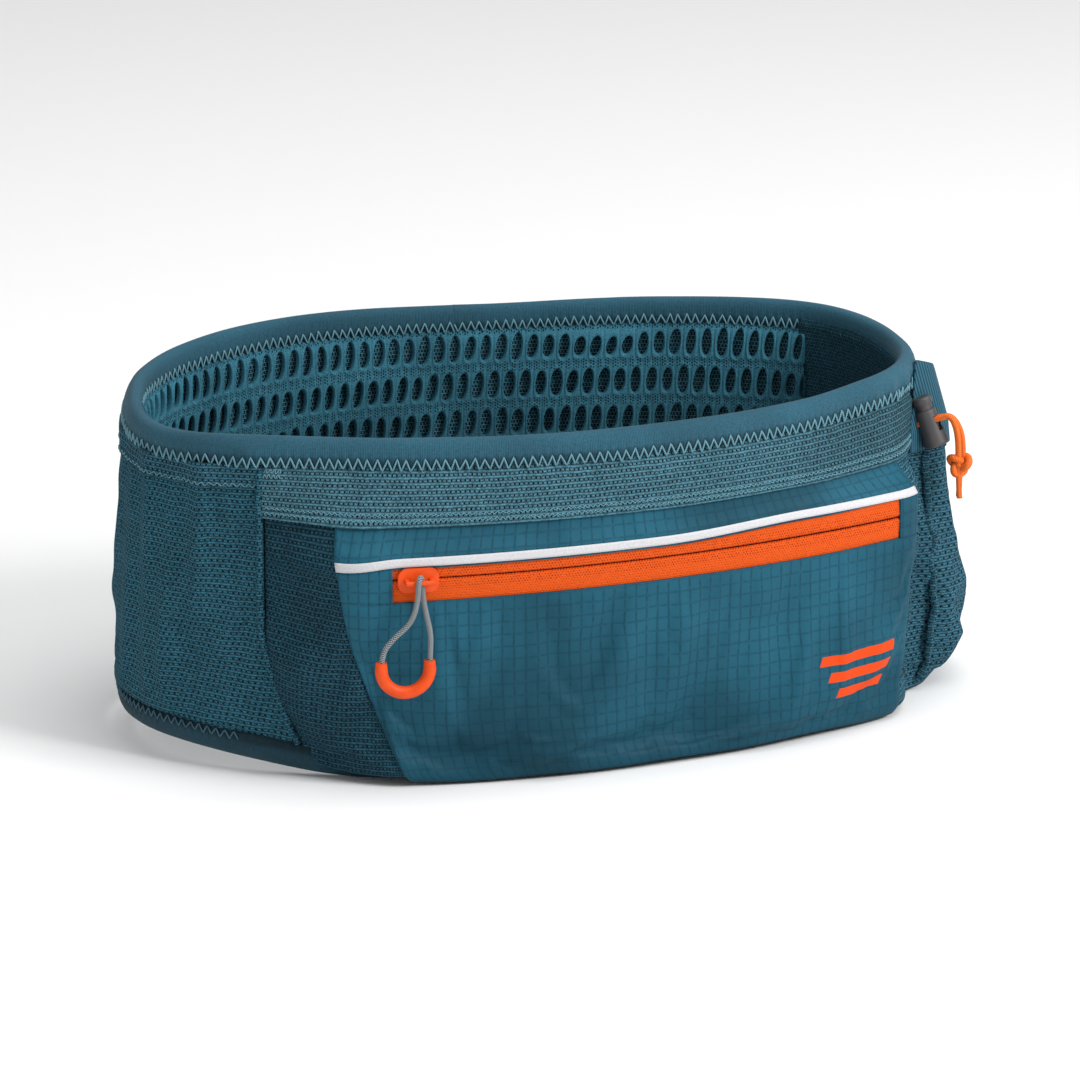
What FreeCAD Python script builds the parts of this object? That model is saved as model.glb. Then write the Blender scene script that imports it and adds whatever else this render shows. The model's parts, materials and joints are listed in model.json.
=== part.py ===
import FreeCAD, Part
import math
import os

# Stretch running belt: an oval waist hoop with a zipped front pocket, open mesh pockets on the
# sides and rear, and a bungee cord lock on the right pocket.  Millimetres, +Z up, front towards -Y.
# The origin is on the resting plane, under the middle of the pack's box.

V = FreeCAD.Vector
UP = V(0, 0, 1)

# ---- driving dimensions -------------------------------------------------------------------------
HEIGHT = 132.0              # belt height
HALF_WIDTH = 152.0          # hoop, side to side, from the middle of its wall
HALF_DEPTH = 90.0           # hoop, front to back
END_RADIUS = 66.0           # small plan radius at the two sides
HOOP_CENTRE = V(-2.9, 0.8, 0)   # where the hoop stands so that the whole pack is centred

WALL_IN = 3.0               # inner face of the padded mesh, inside the hoop line
WALL_OUT = -0.2             # its outer face
SKIN = 1.2                  # one layer of mesh or ripstop
GAP = 0.2                   # between layers that lie on each other

BINDING_IN = 4.2            # folded edge binding: inside and outside faces, and its lips
BINDING_OUT = 2.6
BINDING_LIP_IN = 3.2
BINDING_LIP_OUT = 1.6
BINDING_WEB = 1.2
TOP_BINDING = 11.5          # visible height of the top binding
BOTTOM_BINDING = 10.0

FRONT_SEAM_LEFT = -123.0    # along the hoop, from the middle of the front, + to the right
FRONT_SEAM_RIGHT = 155.0
REAR_SEAM = 253.0
AIR_MESH_HALF = 135.0       # half length of the lumbar air mesh
YOKE_BOTTOM = 101.0

POCKET_RADIUS = 440.0       # plan radius of the flat front pocket
POCKET_MIDDLE = 26.0        # its middle, along the hoop
POCKET_STANDOFF = 7.0       # its face, outside the hoop line, at its middle
POCKET_BASE = 1.5
POCKET_TOP = 101.0
RIPSTOP_LEFT_TOP = -122.0
RIPSTOP_LEFT_BASE = -97.0
RIPSTOP_RIGHT_TOP = 116.0
RIPSTOP_RIGHT_BASE = 112.0
POCKET_LEFT_END = -123.0
POCKET_RIGHT_END = 117.0

ZIP_Z = 81.3                # height of the zip's line
ZIP_HALF = 104.6            # half length of its window
ZIP_UP = 7.4                # window above and below the line
ZIP_DOWN = 7.9
ZIP_SLIT = 0.6              # half the slit between the tapes
COIL_TALL = 1.9
STRIP_TALL = 3.2
SLIDER_REST = -94.0         # slider's middle at rest, along the pocket
SLIDER_LONG = 15.0
SLIDER_TALL = 9.0
SLIDER_FRONT = 2.1          # front of its plate, out of the pocket face
BAIL_OUT = 5.65             # bail bar's axis in front of the pocket face
BAIL_BAR = 0.9              # its radius
PULL_CORD = 1.0             # pull cord's radius
GRIP_TUBE = 2.35            # radius of the moulded grip

SIDE_POCKET_BASE = 3.0
LEFT_POCKET_BULGE = 9.5
REAR_POCKET_BULGE = 13.0
RIGHT_POCKET_BULGE = 15.0
LEFT_POCKET_TOP = 113.0
REAR_POCKET_TOP = 110.0
RIGHT_POCKET_TOP = 104.0
HEM_TALL = 10.0
HEM_THICK = 2.2
TAB_TOP = 130.0

LOCK_CENTRE = V(151.0, -39.3, 108.5)   # where the bungee passes through the cord lock
LOCK_BEARING = 31.0         # the bungee's bearing, degrees from +X towards the front
LOCK_TILT = 20.0            # its rise, degrees
BUNGEE = 1.2                # bungee's radius
STRAND_SIDE = 1.35          # each strand beside the middle
BARREL = 4.3                # cord lock barrel's radius
PLUNGER = 3.1


# ---- plan geometry ------------------------------------------------------------------------------
# The hoop line is an oval of four tangent arcs: two of front_radius and two of END_RADIUS.
reach = HALF_WIDTH - END_RADIUS
front_radius = (reach ** 2 + HALF_DEPTH ** 2 - END_RADIUS ** 2) / (2 * (HALF_DEPTH - END_RADIUS))
front_back = front_radius - HALF_DEPTH
join_angle = math.atan2(reach, front_back)
front_half = front_radius * join_angle
side_half = END_RADIUS * (math.pi / 2 - join_angle)
hoop_half = 2 * (front_half + side_half)


def polar(centre, radius, angle):
    """The point at a bearing from -Y, turning towards +X."""
    return centre + V(radius * math.sin(angle), -radius * math.cos(angle), 0)


def hoop_point(along, out=0.0):
    """A point of the hoop line, from the middle of the front, moved outwards."""
    along = (along + hoop_half) % (2 * hoop_half) - hoop_half
    side = 1 if along >= 0 else -1
    along = abs(along)
    rear = along > hoop_half / 2
    if rear:
        along = hoop_half - along
    if along <= front_half:
        point = polar(V(0, front_back, 0), front_radius + out, along / front_radius)
    else:
        turn = join_angle + (along - front_half) / END_RADIUS
        point = polar(V(reach, 0, 0), END_RADIUS + out, turn)
    return V(side * point.x, -point.y if rear else point.y, 0)


JOINS = [side + sign * front_half for side in (-hoop_half, 0, hoop_half) for sign in (-1, 1)]


def hoop_arcs(start, end, out):
    """The arcs of the hoop line between two places along it."""
    cuts = [start] + sorted(j for j in JOINS if start + 1e-6 < j < end - 1e-6) + [end]
    arcs = []
    for a, b in zip(cuts, cuts[1:]):
        middle = (a + b) / 2
        arcs.append(Part.Arc(hoop_point(a, out), hoop_point(middle, out), hoop_point(b, out)).toShape())
    return arcs


def line(a, b):
    return Part.LineSegment(a, b).toShape()


def extrude(edges, low, high):
    """A prism on a closed plan outline."""
    wire = Part.Wire(Part.__sortEdges__(edges))
    solid = Part.Face(wire).extrude(V(0, 0, high - low))
    solid.translate(V(0, 0, low))
    return solid


def hoop_prism(out, low, high):
    return extrude(hoop_arcs(-hoop_half, hoop_half, out), low, high)


def wall(start, end, inner, outer, low, high):
    """A length of hoop wall between two offsets."""
    ends = [line(hoop_point(start, inner), hoop_point(start, outer)),
            line(hoop_point(end, inner), hoop_point(end, outer))]
    return extrude(hoop_arcs(start, end, inner) + hoop_arcs(start, end, outer) + ends, low, high)


def ring(inner, outer, low, high):
    return hoop_prism(outer, low, high).cut(hoop_prism(inner, low - 1, high + 1))


def box(low, high):
    return Part.makeBox(high.x - low.x, high.y - low.y, high.z - low.z, low)


def prism(corners, low, high):
    edges = [line(a, b) for a, b in zip(corners, corners[1:] + corners[:1])]
    return extrude(edges, low, high)


def circle_through(a, b, c):
    circle = Part.Arc(a, b, c).toShape().Curve
    return circle.Center, circle.Radius


def place(shape, placement):
    """Move a shape that was made in its own frame."""
    shape.Placement = placement.multiply(shape.Placement)
    return shape


def disc(centre, radius, low, high):
    return Part.makeCylinder(radius, high - low, centre + V(0, 0, low))


# ---- bindings and the wall's panels -------------------------------------------------------------
def top_binding():
    low = HEIGHT - TOP_BINDING
    channel = ring(-BINDING_LIP_IN, BINDING_LIP_OUT, low - 1, HEIGHT - BINDING_WEB)
    return ring(-BINDING_IN, BINDING_OUT, low, HEIGHT).cut(channel)


def bottom_binding():
    channel = ring(-BINDING_LIP_IN, BINDING_LIP_OUT, BINDING_WEB, BOTTOM_BINDING + 1)
    return ring(-BINDING_IN, BINDING_OUT, 0, BOTTOM_BINDING).cut(channel)


def inner_panel(start, end):
    edge = BINDING_WEB + GAP
    return wall(start + GAP, end - GAP, -WALL_IN, WALL_OUT, edge, HEIGHT - edge)


def outer_panel(low, high):
    return wall(FRONT_SEAM_LEFT, FRONT_SEAM_RIGHT, GAP, GAP + SKIN, low, high)


# ---- the flat front pocket ----------------------------------------------------------------------
pocket_bearing = POCKET_MIDDLE / front_radius
pocket_face = hoop_point(POCKET_MIDDLE, POCKET_STANDOFF)
POCKET_CENTRE = polar(pocket_face, -POCKET_RADIUS, pocket_bearing)


def pocket_angle(along):
    return pocket_bearing + along / POCKET_RADIUS


def pocket_point(along, out=0.0, height=0.0):
    """A place on the pocket's face: along it from its middle, in front of it, and its height."""
    return polar(POCKET_CENTRE, POCKET_RADIUS + out, pocket_angle(along)) + V(0, 0, height)


def pocket_band(start, end, inner, outer, low, high):
    """A curved piece that follows the pocket's face."""
    middle = (start + end) / 2
    edges = [Part.Arc(pocket_point(start, out), pocket_point(middle, out), pocket_point(end, out)).toShape()
             for out in (inner, outer)]
    edges += [line(pocket_point(place, inner), pocket_point(place, outer)) for place in (start, end)]
    return extrude(edges, low, high)


def pocket_frame(along, out, height):
    """Placement with X along the zip, Y into the pack and Z up."""
    turn = math.degrees(pocket_angle(along))
    return FreeCAD.Placement(pocket_point(along, out, height), FreeCAD.Rotation(UP, turn))


def wing_outline(seam, end):
    """Plan corners of the mesh between a seam on the hoop and an end of the pocket's face."""
    a = hoop_point(seam, GAP + SKIN)
    b = pocket_point(end)
    across = (b - a).cross(UP).normalize()
    if across.dot(pocket_point(0) - a) < 0:
        across = across * -1
    return [a, b, b + across * SKIN, a + across * SKIN]


def pocket_skin():
    """The whole outer layer of the front pocket, before it is cut into its panels."""
    skin = pocket_band(POCKET_LEFT_END, POCKET_RIGHT_END, -SKIN, 0, POCKET_BASE, POCKET_TOP)
    for seam, end in ((FRONT_SEAM_LEFT, POCKET_LEFT_END), (FRONT_SEAM_RIGHT, POCKET_RIGHT_END)):
        skin = skin.fuse(prism(wing_outline(seam, end), POCKET_BASE, POCKET_TOP))
    clear = hoop_prism(BINDING_OUT + GAP, 0, HEIGHT)
    return skin.removeSplitter().cut(clear)


def ripstop_field():
    """The block that trims the ripstop out of the pocket's skin: slanted ends, in elevation."""
    margin = 5.0
    base, top = POCKET_BASE - margin, POCKET_TOP + margin
    slope_left = (RIPSTOP_LEFT_TOP - RIPSTOP_LEFT_BASE) / (POCKET_TOP - POCKET_BASE)
    slope_right = (RIPSTOP_RIGHT_TOP - RIPSTOP_RIGHT_BASE) / (POCKET_TOP - POCKET_BASE)
    corners = [V(RIPSTOP_LEFT_BASE - slope_left * margin, base, 0),
               V(RIPSTOP_RIGHT_BASE - slope_right * margin, base, 0),
               V(RIPSTOP_RIGHT_TOP + slope_right * margin, top, 0),
               V(RIPSTOP_LEFT_TOP + slope_left * margin, top, 0)]
    deep = 40.0
    block = prism(corners, -deep, deep)
    upright = FreeCAD.Placement(V(0, 0, 0), FreeCAD.Rotation(V(1, 0, 0), 90))
    return place(block, pocket_frame(0, 0, 0).multiply(upright))


def pocket_window(margin=0.0):
    reach_out = 5.0
    return pocket_band(-ZIP_HALF - margin, ZIP_HALF + margin, -reach_out, reach_out,
                       ZIP_Z - ZIP_DOWN - margin, ZIP_Z + ZIP_UP + margin)


def front_panels():
    """Upper and lower ripstop, and the mesh at the two sides of them."""
    skin = pocket_skin()
    field = ripstop_field()
    ripstop = skin.common(field).cut(pocket_window())
    seam = ZIP_Z + ZIP_UP
    huge = 400.0
    above = box(V(-huge, -huge, seam), V(huge, huge, HEIGHT))
    rest = skin.cut(field)
    sides = sorted(rest.Solids, key=lambda solid: solid.CenterOfMass.x)
    return {"ripstop_upper_panel": ripstop.common(above), "ripstop_lower_panel": ripstop.cut(above),
            "front_mesh_left": sides[0], "front_mesh_right": sides[-1]}


def pocket_gusset(low, high):
    """The strip that closes the pocket between its face and the hoop."""
    left, right = wing_outline(FRONT_SEAM_LEFT, POCKET_LEFT_END), wing_outline(FRONT_SEAM_RIGHT, POCKET_RIGHT_END)
    inset = SKIN + GAP
    arc = Part.Arc(pocket_point(POCKET_LEFT_END + 4, -inset), pocket_point(0, -inset),
                   pocket_point(POCKET_RIGHT_END - 4, -inset)).toShape()
    start, end = arc.valueAt(arc.FirstParameter), arc.valueAt(arc.LastParameter)
    edges = [arc, line(start, left[3]), line(left[3], right[3]), line(right[3], end)]
    return extrude(edges, low, high).cut(hoop_prism(BINDING_OUT + GAP, low - 1, high + 1))


# ---- zip, slider and pull -----------------------------------------------------------------------
def zip_half(inner, outer, lower, upper, end=ZIP_HALF - GAP):
    return pocket_band(-end, end, inner, outer, ZIP_Z + lower, ZIP_Z + upper)


def zip_stop(side):
    near, far = 101.8, 104.0
    return pocket_band(min(side * near, side * far), max(side * near, side * far), -2.6, -1.1,
                       ZIP_Z - ZIP_SLIT + 0.05, ZIP_Z + ZIP_SLIT - 0.05)


def slider_body():
    """Front and back plates joined by the neck that runs in the slit."""
    half = SLIDER_LONG / 2
    back_of_plate = 0.3
    front = pocket_band(SLIDER_REST - half, SLIDER_REST + half, back_of_plate, SLIDER_FRONT,
                        ZIP_Z - SLIDER_TALL / 2, ZIP_Z + SLIDER_TALL / 2)
    plate_thick = SLIDER_FRONT - back_of_plate
    corners = [edge for edge in front.Edges if abs(edge.Length - plate_thick) < 0.01]
    front = front.makeFillet(3.2, corners)
    back = pocket_band(SLIDER_REST - half + 1, SLIDER_REST + half - 1, -4.3, -2.9,
                       ZIP_Z - SLIDER_TALL / 2 + 0.8, ZIP_Z + SLIDER_TALL / 2 - 0.8)
    neck = pocket_band(SLIDER_REST - 2.5, SLIDER_REST + 2.5, -3.5, 1.0, ZIP_Z - 0.3, ZIP_Z + 0.3)
    return front.fuse([back, neck]).removeSplitter()


def slider_bail():
    """The bar that the pull cord goes round, on two posts."""
    bar_half, post = 5.2, 1.3
    bar = Part.makeCylinder(BAIL_BAR, 2 * bar_half, V(-bar_half, 0, 0), V(1, 0, 0))
    foot = BAIL_OUT - SLIDER_FRONT - 0.02
    posts = [box(V(x, 0, -BAIL_BAR), V(x + post, foot, BAIL_BAR)) for x in (-bar_half, bar_half - post)]
    return place(bar.fuse(posts).removeSplitter(), pocket_frame(SLIDER_REST, BAIL_OUT, ZIP_Z))


def tube(points, radius, name):
    """A cord: straight runs joined by the largest tangent arcs that the runs allow."""
    edges = []
    start = points[0]
    radii = []
    for before, corner, after in zip(points, points[1:], points[2:]):
        back, ahead = before - corner, after - corner
        turn = math.pi - back.getAngle(ahead)
        trim = 0.45 * min(back.Length, ahead.Length)
        radii.append(trim / math.tan(turn / 2))
        first = corner + V(back).normalize() * trim
        last = corner + V(ahead).normalize() * trim
        bisector = (V(back).normalize() + V(ahead).normalize()).normalize()
        to_centre = math.hypot(trim, radii[-1])
        middle = corner + bisector * (to_centre - radii[-1])
        edges += [line(start, first), Part.Arc(first, middle, last).toShape()]
        start = last
    edges.append(line(start, points[-1]))
    path = Part.Wire(edges)
    section = Part.Wire(Part.makeCircle(radius, points[0], points[1] - points[0]))
    solid = path.makePipeShell([section], True, True)
    wanted = math.pi * radius ** 2 * path.Length
    print(name, "length", round(path.Length, 1), "radii", [round(r, 1) for r in radii],
          "volume ratio", round(solid.Volume / wanted, 4))
    return solid


# The pull cord's route from the grip's left arm, in front of, over and behind the bail bar, to its
# right arm: along the zip, into the pack, and up from the bar.
PULL_ROUTE = [(-14.6, 0.0, -31.5), (-14.3, 0.0, -25.5), (-9.8, -0.4, -20.0), (-3.6, -1.2, -14.5),
              (-1.3, -1.95, -6.5), (-0.9, -1.95, 2.1), (0.9, 1.95, 2.1), (1.3, 1.95, -6.5),
              (2.6, 1.3, -13.5), (3.9, 0.5, -20.0), (3.6, 0.0, -26.0), (3.3, 0.0, -31.5)]
GRIP_LEFT = -14.6
GRIP_RIGHT = 3.3
GRIP_TOP = -29.3
GRIP_BEND = -32.2


def pull_cord():
    frame = pocket_frame(SLIDER_REST, BAIL_OUT, ZIP_Z)
    return tube([frame.multVec(V(*point)) for point in PULL_ROUTE], PULL_CORD, "pull_cord")


def pull_grip():
    """The moulded U that both ends of the pull cord go into."""
    middle, half = (GRIP_LEFT + GRIP_RIGHT) / 2, (GRIP_RIGHT - GRIP_LEFT) / 2
    bend = Part.makeTorus(half, GRIP_TUBE, V(middle, 0, GRIP_BEND), V(0, 1, 0))
    below = box(V(middle - 20, -10, GRIP_BEND - 20), V(middle + 20, 10, GRIP_BEND))
    arms = [Part.makeCone(GRIP_TUBE, GRIP_TUBE - 0.35, GRIP_TOP - GRIP_BEND, V(x, 0, GRIP_BEND))
            for x in (GRIP_LEFT, GRIP_RIGHT)]
    return place(bend.common(below).fuse(arms), pocket_frame(SLIDER_REST, BAIL_OUT, ZIP_Z))


# ---- open pockets on the sides and rear ---------------------------------------------------------
def pocket_arc(start, end, bulge_point):
    a, b = hoop_point(start, 1.5), hoop_point(end, 1.5)
    return circle_through(a, bulge_point, b)


LEFT_ARC = pocket_arc(-REAR_SEAM, FRONT_SEAM_LEFT, V(-HALF_WIDTH - LEFT_POCKET_BULGE, 0, 0))
RIGHT_ARC = pocket_arc(FRONT_SEAM_RIGHT, REAR_SEAM, V(HALF_WIDTH + RIGHT_POCKET_BULGE, 0, 0))
REAR_ARC = pocket_arc(REAR_SEAM, 2 * hoop_half - REAR_SEAM, V(0, HALF_DEPTH + REAR_POCKET_BULGE, 0))
FAR = 300.0
LEFT_SIDE = box(V(-FAR, -FAR, -10), V(-HALF_WIDTH / 2, FAR, FAR))
RIGHT_SIDE = box(V(HALF_WIDTH / 2, -FAR, -10), V(FAR, FAR, FAR))
REAR_SIDE = box(V(-FAR, hoop_point(REAR_SEAM, 1.5).y, -10), V(FAR, FAR, FAR))


def bulged(arc, keep, thick, low, high, clear):
    """A curved skin outside the hoop."""
    centre, radius = arc
    skin = disc(centre, radius, low, high).cut(disc(centre, radius - thick, low - 1, high + 1))
    return skin.cut(hoop_prism(clear, low - 1, high + 1)).common(keep)


def pocket_panel(arc, keep, top):
    """Mesh skin with a closed base, open at the top."""
    centre, radius = arc
    base = disc(centre, radius - SKIN / 2, SIDE_POCKET_BASE, SIDE_POCKET_BASE + SKIN)
    base = base.cut(hoop_prism(BINDING_OUT + GAP, 0, HEIGHT)).common(keep)
    skin = bulged(arc, keep, SKIN, SIDE_POCKET_BASE, top - HEM_TALL - GAP, BINDING_OUT + GAP)
    return skin.fuse(base).removeSplitter()


def pocket_hem(arc, keep, top):
    return bulged(arc, keep, HEM_THICK, top - HEM_TALL, top, BINDING_OUT + GAP)


def hem_tab():
    """The ribbed corner of the right pocket's hem, standing up beside the top binding."""
    low = RIGHT_POCKET_TOP + GAP
    skin = bulged(RIGHT_ARC, RIGHT_SIDE, 1.5, low, TAB_TOP, BINDING_OUT + GAP)
    corners = [V(-30, low, 0), V(-18, TAB_TOP, 0), V(12, TAB_TOP - 3, 0), V(34, low, 0)]
    wedge = prism(corners, 0, FAR)
    upright = FreeCAD.Placement(V(0, 0, 0), FreeCAD.Rotation(V(1, 1, 1), 120))
    return skin.common(place(wedge, upright))


# ---- bungee and cord lock -----------------------------------------------------------------------
# Lock frame: X along the bungee, outwards; Z along the barrel, up; Y across the two strands.
LOCK_FRAME = FreeCAD.Placement(LOCK_CENTRE, FreeCAD.Rotation(UP, -LOCK_BEARING).multiply(
    FreeCAD.Rotation(V(0, 1, 0), -LOCK_TILT)))

# Routes of the two strands from the anchor, through the lock and down into the knot.
OUTER_ROUTE = [(-7.0, 1.35, 0.0), (6.8, 1.35, 0.1), (9.6, 1.35, -2.4), (10.4, 1.3, -8.2), (8.8, 1.2, -14.6),
               (6.7, 1.1, -20.6)]
INNER_ROUTE = [(-7.0, -1.35, 0.0), (6.2, -1.35, 0.0), (8.5, -1.35, -2.6), (8.9, -1.35, -8.2),
               (7.6, -1.35, -14.4), (5.4, -1.3, -20.2)]
KNOT = V(5.9, 0, -19.5)
KNOT_RADIUS = 4.2
TAIL_LONG = 9.0


def strand(route, name):
    return tube([LOCK_FRAME.multVec(V(*point)) for point in route], BUNGEE, name)


def bungee_knot():
    """Overhand knot and its two tails, hanging straight down."""
    centre = LOCK_FRAME.multVec(KNOT)
    knot = Part.makeSphere(KNOT_RADIUS, centre)
    tails = [Part.makeCylinder(BUNGEE, KNOT_RADIUS + TAIL_LONG, centre + V(0, side * STRAND_SIDE, 0), V(0, 0, -1))
             for side in (-1, 1)]
    return knot.fuse(tails).removeSplitter()


def bungee_anchor():
    """The sewn loop that holds the bungee in the pocket's seam."""
    anchor = box(V(-8.6, -3.2, -2.2), V(-6.4, 3.2, 2.2))
    anchor = anchor.makeFillet(0.8, anchor.Edges)
    return place(anchor, LOCK_FRAME)


def slot_hole(low, high, reach_out):
    """An oblong passage along the bungee."""
    wide = STRAND_SIDE + BUNGEE + 0.35
    hole = box(V(-reach_out, -wide, low), V(reach_out, wide, high))
    return hole


def cord_lock_body():
    """Flared barrel, blind bore from above, and the passage for both strands."""
    floor, top = -10.0, 4.6
    barrel = Part.makeCone(BARREL + 0.7, BARREL - 0.3, top - floor, V(0, 0, floor))
    barrel = barrel.makeFillet(1.0, [barrel.Edges[i] for i in (0, 2)])
    bore = Part.makeCylinder(PLUNGER + 0.15, top - floor, V(0, 0, floor + 1.5))
    body = barrel.cut(bore).cut(slot_hole(-4.4, 1.55, 10))
    return place(body, LOCK_FRAME)


def cord_lock_plunger():
    """Plunger with its own passage, raised so that the strands are held at its lower edge."""
    shaft = Part.makeCylinder(PLUNGER, 12.6, V(0, 0, -5.6))
    cap = Part.makeCylinder(PLUNGER + 0.8, 2.6, V(0, 0, 7.0))
    cap = cap.makeFillet(0.9, [cap.Edges[0]])
    plunger = shaft.fuse(cap).cut(slot_hole(-1.55, 4.0, 6)).removeSplitter()
    return place(plunger, LOCK_FRAME)


def cord_lock_spring():
    """The space of the coil spring, between the bore's floor and the plunger."""
    spring = Part.makeCylinder(2.6, 2.4, V(0, 0, -8.3)).cut(Part.makeCylinder(1.6, 2.4, V(0, 0, -8.3)))
    return place(spring, LOCK_FRAME)


# ---- the whole pack -----------------------------------------------------------------------------
def build():
    rear_start, rear_end = hoop_half - AIR_MESH_HALF, hoop_half + AIR_MESH_HALF
    side_start = FRONT_SEAM_RIGHT
    parts = {
        "top_binding": top_binding(),
        "bottom_binding": bottom_binding(),
        "lumbar_air_mesh": inner_panel(rear_start, rear_end),
        "inner_mesh_right": inner_panel(side_start, rear_start),
        "inner_mesh_left": inner_panel(-rear_start, FRONT_SEAM_LEFT),
        "inner_mesh_front": inner_panel(FRONT_SEAM_LEFT, side_start),
        "front_pocket_lining": outer_panel(BINDING_WEB + GAP, YOKE_BOTTOM - GAP),
        "front_yoke_mesh": outer_panel(YOKE_BOTTOM, HEIGHT - BINDING_WEB - GAP),
        "pocket_top_gusset": pocket_gusset(POCKET_TOP - SKIN, POCKET_TOP),
        "pocket_bottom_gusset": pocket_gusset(POCKET_BASE, POCKET_BASE + SKIN),
        "zip_tape_upper": zip_half(-1.0, -0.2, ZIP_SLIT, ZIP_UP - 0.1),
        "zip_tape_lower": zip_half(-1.0, -0.2, 0.1 - ZIP_DOWN, -ZIP_SLIT),
        "zip_coil_upper": zip_half(-2.6, -1.1, ZIP_SLIT, ZIP_SLIT + COIL_TALL, 101.0),
        "zip_coil_lower": zip_half(-2.6, -1.1, -ZIP_SLIT - COIL_TALL, -ZIP_SLIT, 101.0),
        "zip_stop_left": zip_stop(-1),
        "zip_stop_right": zip_stop(1),
        "slider_body": slider_body(),
        "slider_bail": slider_bail(),
        "pull_cord": pull_cord(),
        "pull_grip": pull_grip(),
        "left_pocket_panel": pocket_panel(LEFT_ARC, LEFT_SIDE, LEFT_POCKET_TOP),
        "left_pocket_hem": pocket_hem(LEFT_ARC, LEFT_SIDE, LEFT_POCKET_TOP),
        "rear_pocket_panel": pocket_panel(REAR_ARC, REAR_SIDE, REAR_POCKET_TOP),
        "rear_pocket_hem": pocket_hem(REAR_ARC, REAR_SIDE, REAR_POCKET_TOP),
        "right_pocket_panel": pocket_panel(RIGHT_ARC, RIGHT_SIDE, RIGHT_POCKET_TOP),
        "right_pocket_hem": pocket_hem(RIGHT_ARC, RIGHT_SIDE, RIGHT_POCKET_TOP),
        "hem_tab": hem_tab(),
        "bungee_anchor": bungee_anchor(),
        "bungee_strand_outer": strand(OUTER_ROUTE, "bungee_strand_outer"),
        "bungee_strand_inner": strand(INNER_ROUTE, "bungee_strand_inner"),
        "bungee_knot": bungee_knot(),
        "cord_lock_body": cord_lock_body(),
        "cord_lock_plunger": cord_lock_plunger(),
        "cord_lock_spring": cord_lock_spring(),
    }
    parts.update(front_panels())
    strip_low = ZIP_Z + ZIP_UP + 0.2
    strip = pocket_band(POCKET_LEFT_END + 0.5, POCKET_RIGHT_END - 0.5, 0.02, 0.35, strip_low,
                        strip_low + STRIP_TALL)
    parts["reflective_strip"] = strip.common(ripstop_field())
    return parts


def main():
    os.makedirs("parts", exist_ok=True)
    whole = None
    for name, shape in build().items():
        shape = shape.copy()
        shape.translate(HOOP_CENTRE)
        if not shape.isValid() or not shape.Solids:
            print("NOT VALID", name, shape.ShapeType, len(shape.Solids))
        bounds = shape.BoundBox
        print(f"{name:22s} solids {len(shape.Solids)} x {bounds.XMin:7.1f} {bounds.XMax:7.1f}"
              f" y {bounds.YMin:7.1f} {bounds.YMax:7.1f} z {bounds.ZMin:6.1f} {bounds.ZMax:6.1f}")
        shape.exportStep(f"parts/{name}.step")
        whole = bounds if whole is None else whole.united(bounds)
    print("whole", whole)
    centre = POCKET_CENTRE + HOOP_CENTRE
    bail = pocket_point(SLIDER_REST, BAIL_OUT, ZIP_Z) + HOOP_CENTRE
    lock = LOCK_CENTRE + HOOP_CENTRE
    print("slider axis", centre, "travel", math.degrees(-2 * SLIDER_REST / POCKET_RADIUS))
    print("bail", bail, "along the bar", pocket_frame(SLIDER_REST, 0, 0).Rotation.multVec(V(1, 0, 0)))
    print("lock", lock, "bungee", LOCK_FRAME.Rotation.multVec(V(1, 0, 0)),
          "barrel", LOCK_FRAME.Rotation.multVec(UP))


main()
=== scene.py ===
import json
import math
import bpy
import numpy as np
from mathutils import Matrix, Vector


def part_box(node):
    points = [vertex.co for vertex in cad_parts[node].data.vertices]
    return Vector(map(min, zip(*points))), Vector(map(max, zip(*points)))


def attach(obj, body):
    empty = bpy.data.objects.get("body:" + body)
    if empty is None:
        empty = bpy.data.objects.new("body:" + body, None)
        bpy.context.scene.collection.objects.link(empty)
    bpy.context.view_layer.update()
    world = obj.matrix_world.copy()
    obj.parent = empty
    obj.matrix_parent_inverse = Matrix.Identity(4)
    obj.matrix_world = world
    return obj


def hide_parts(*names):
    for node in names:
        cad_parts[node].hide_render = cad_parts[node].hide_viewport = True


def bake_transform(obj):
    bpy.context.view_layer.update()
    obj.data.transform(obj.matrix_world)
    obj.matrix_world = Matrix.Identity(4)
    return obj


# Looks of a stretch running belt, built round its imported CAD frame.  Shapes are worked out in
# millimetres and stored in metres.  Along the hoop, places are arc lengths from the middle of the
# front, positive to the right; heights are above the resting plane; offsets are outwards.

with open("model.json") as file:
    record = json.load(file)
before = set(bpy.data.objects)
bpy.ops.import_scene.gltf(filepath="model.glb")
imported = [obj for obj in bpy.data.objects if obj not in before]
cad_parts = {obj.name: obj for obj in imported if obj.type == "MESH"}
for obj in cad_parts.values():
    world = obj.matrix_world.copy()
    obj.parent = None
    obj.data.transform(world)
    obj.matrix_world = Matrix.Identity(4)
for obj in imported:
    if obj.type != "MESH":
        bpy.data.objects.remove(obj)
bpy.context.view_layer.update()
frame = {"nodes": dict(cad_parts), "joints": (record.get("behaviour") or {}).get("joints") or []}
MM = 0.001


def cad_box(node):
    return [np.array(corner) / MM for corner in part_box(node)]


def put(name, data):
    """A new object in the scene."""
    piece = bpy.data.objects.new(name, data)
    bpy.context.scene.collection.objects.link(piece)
    return piece


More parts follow.
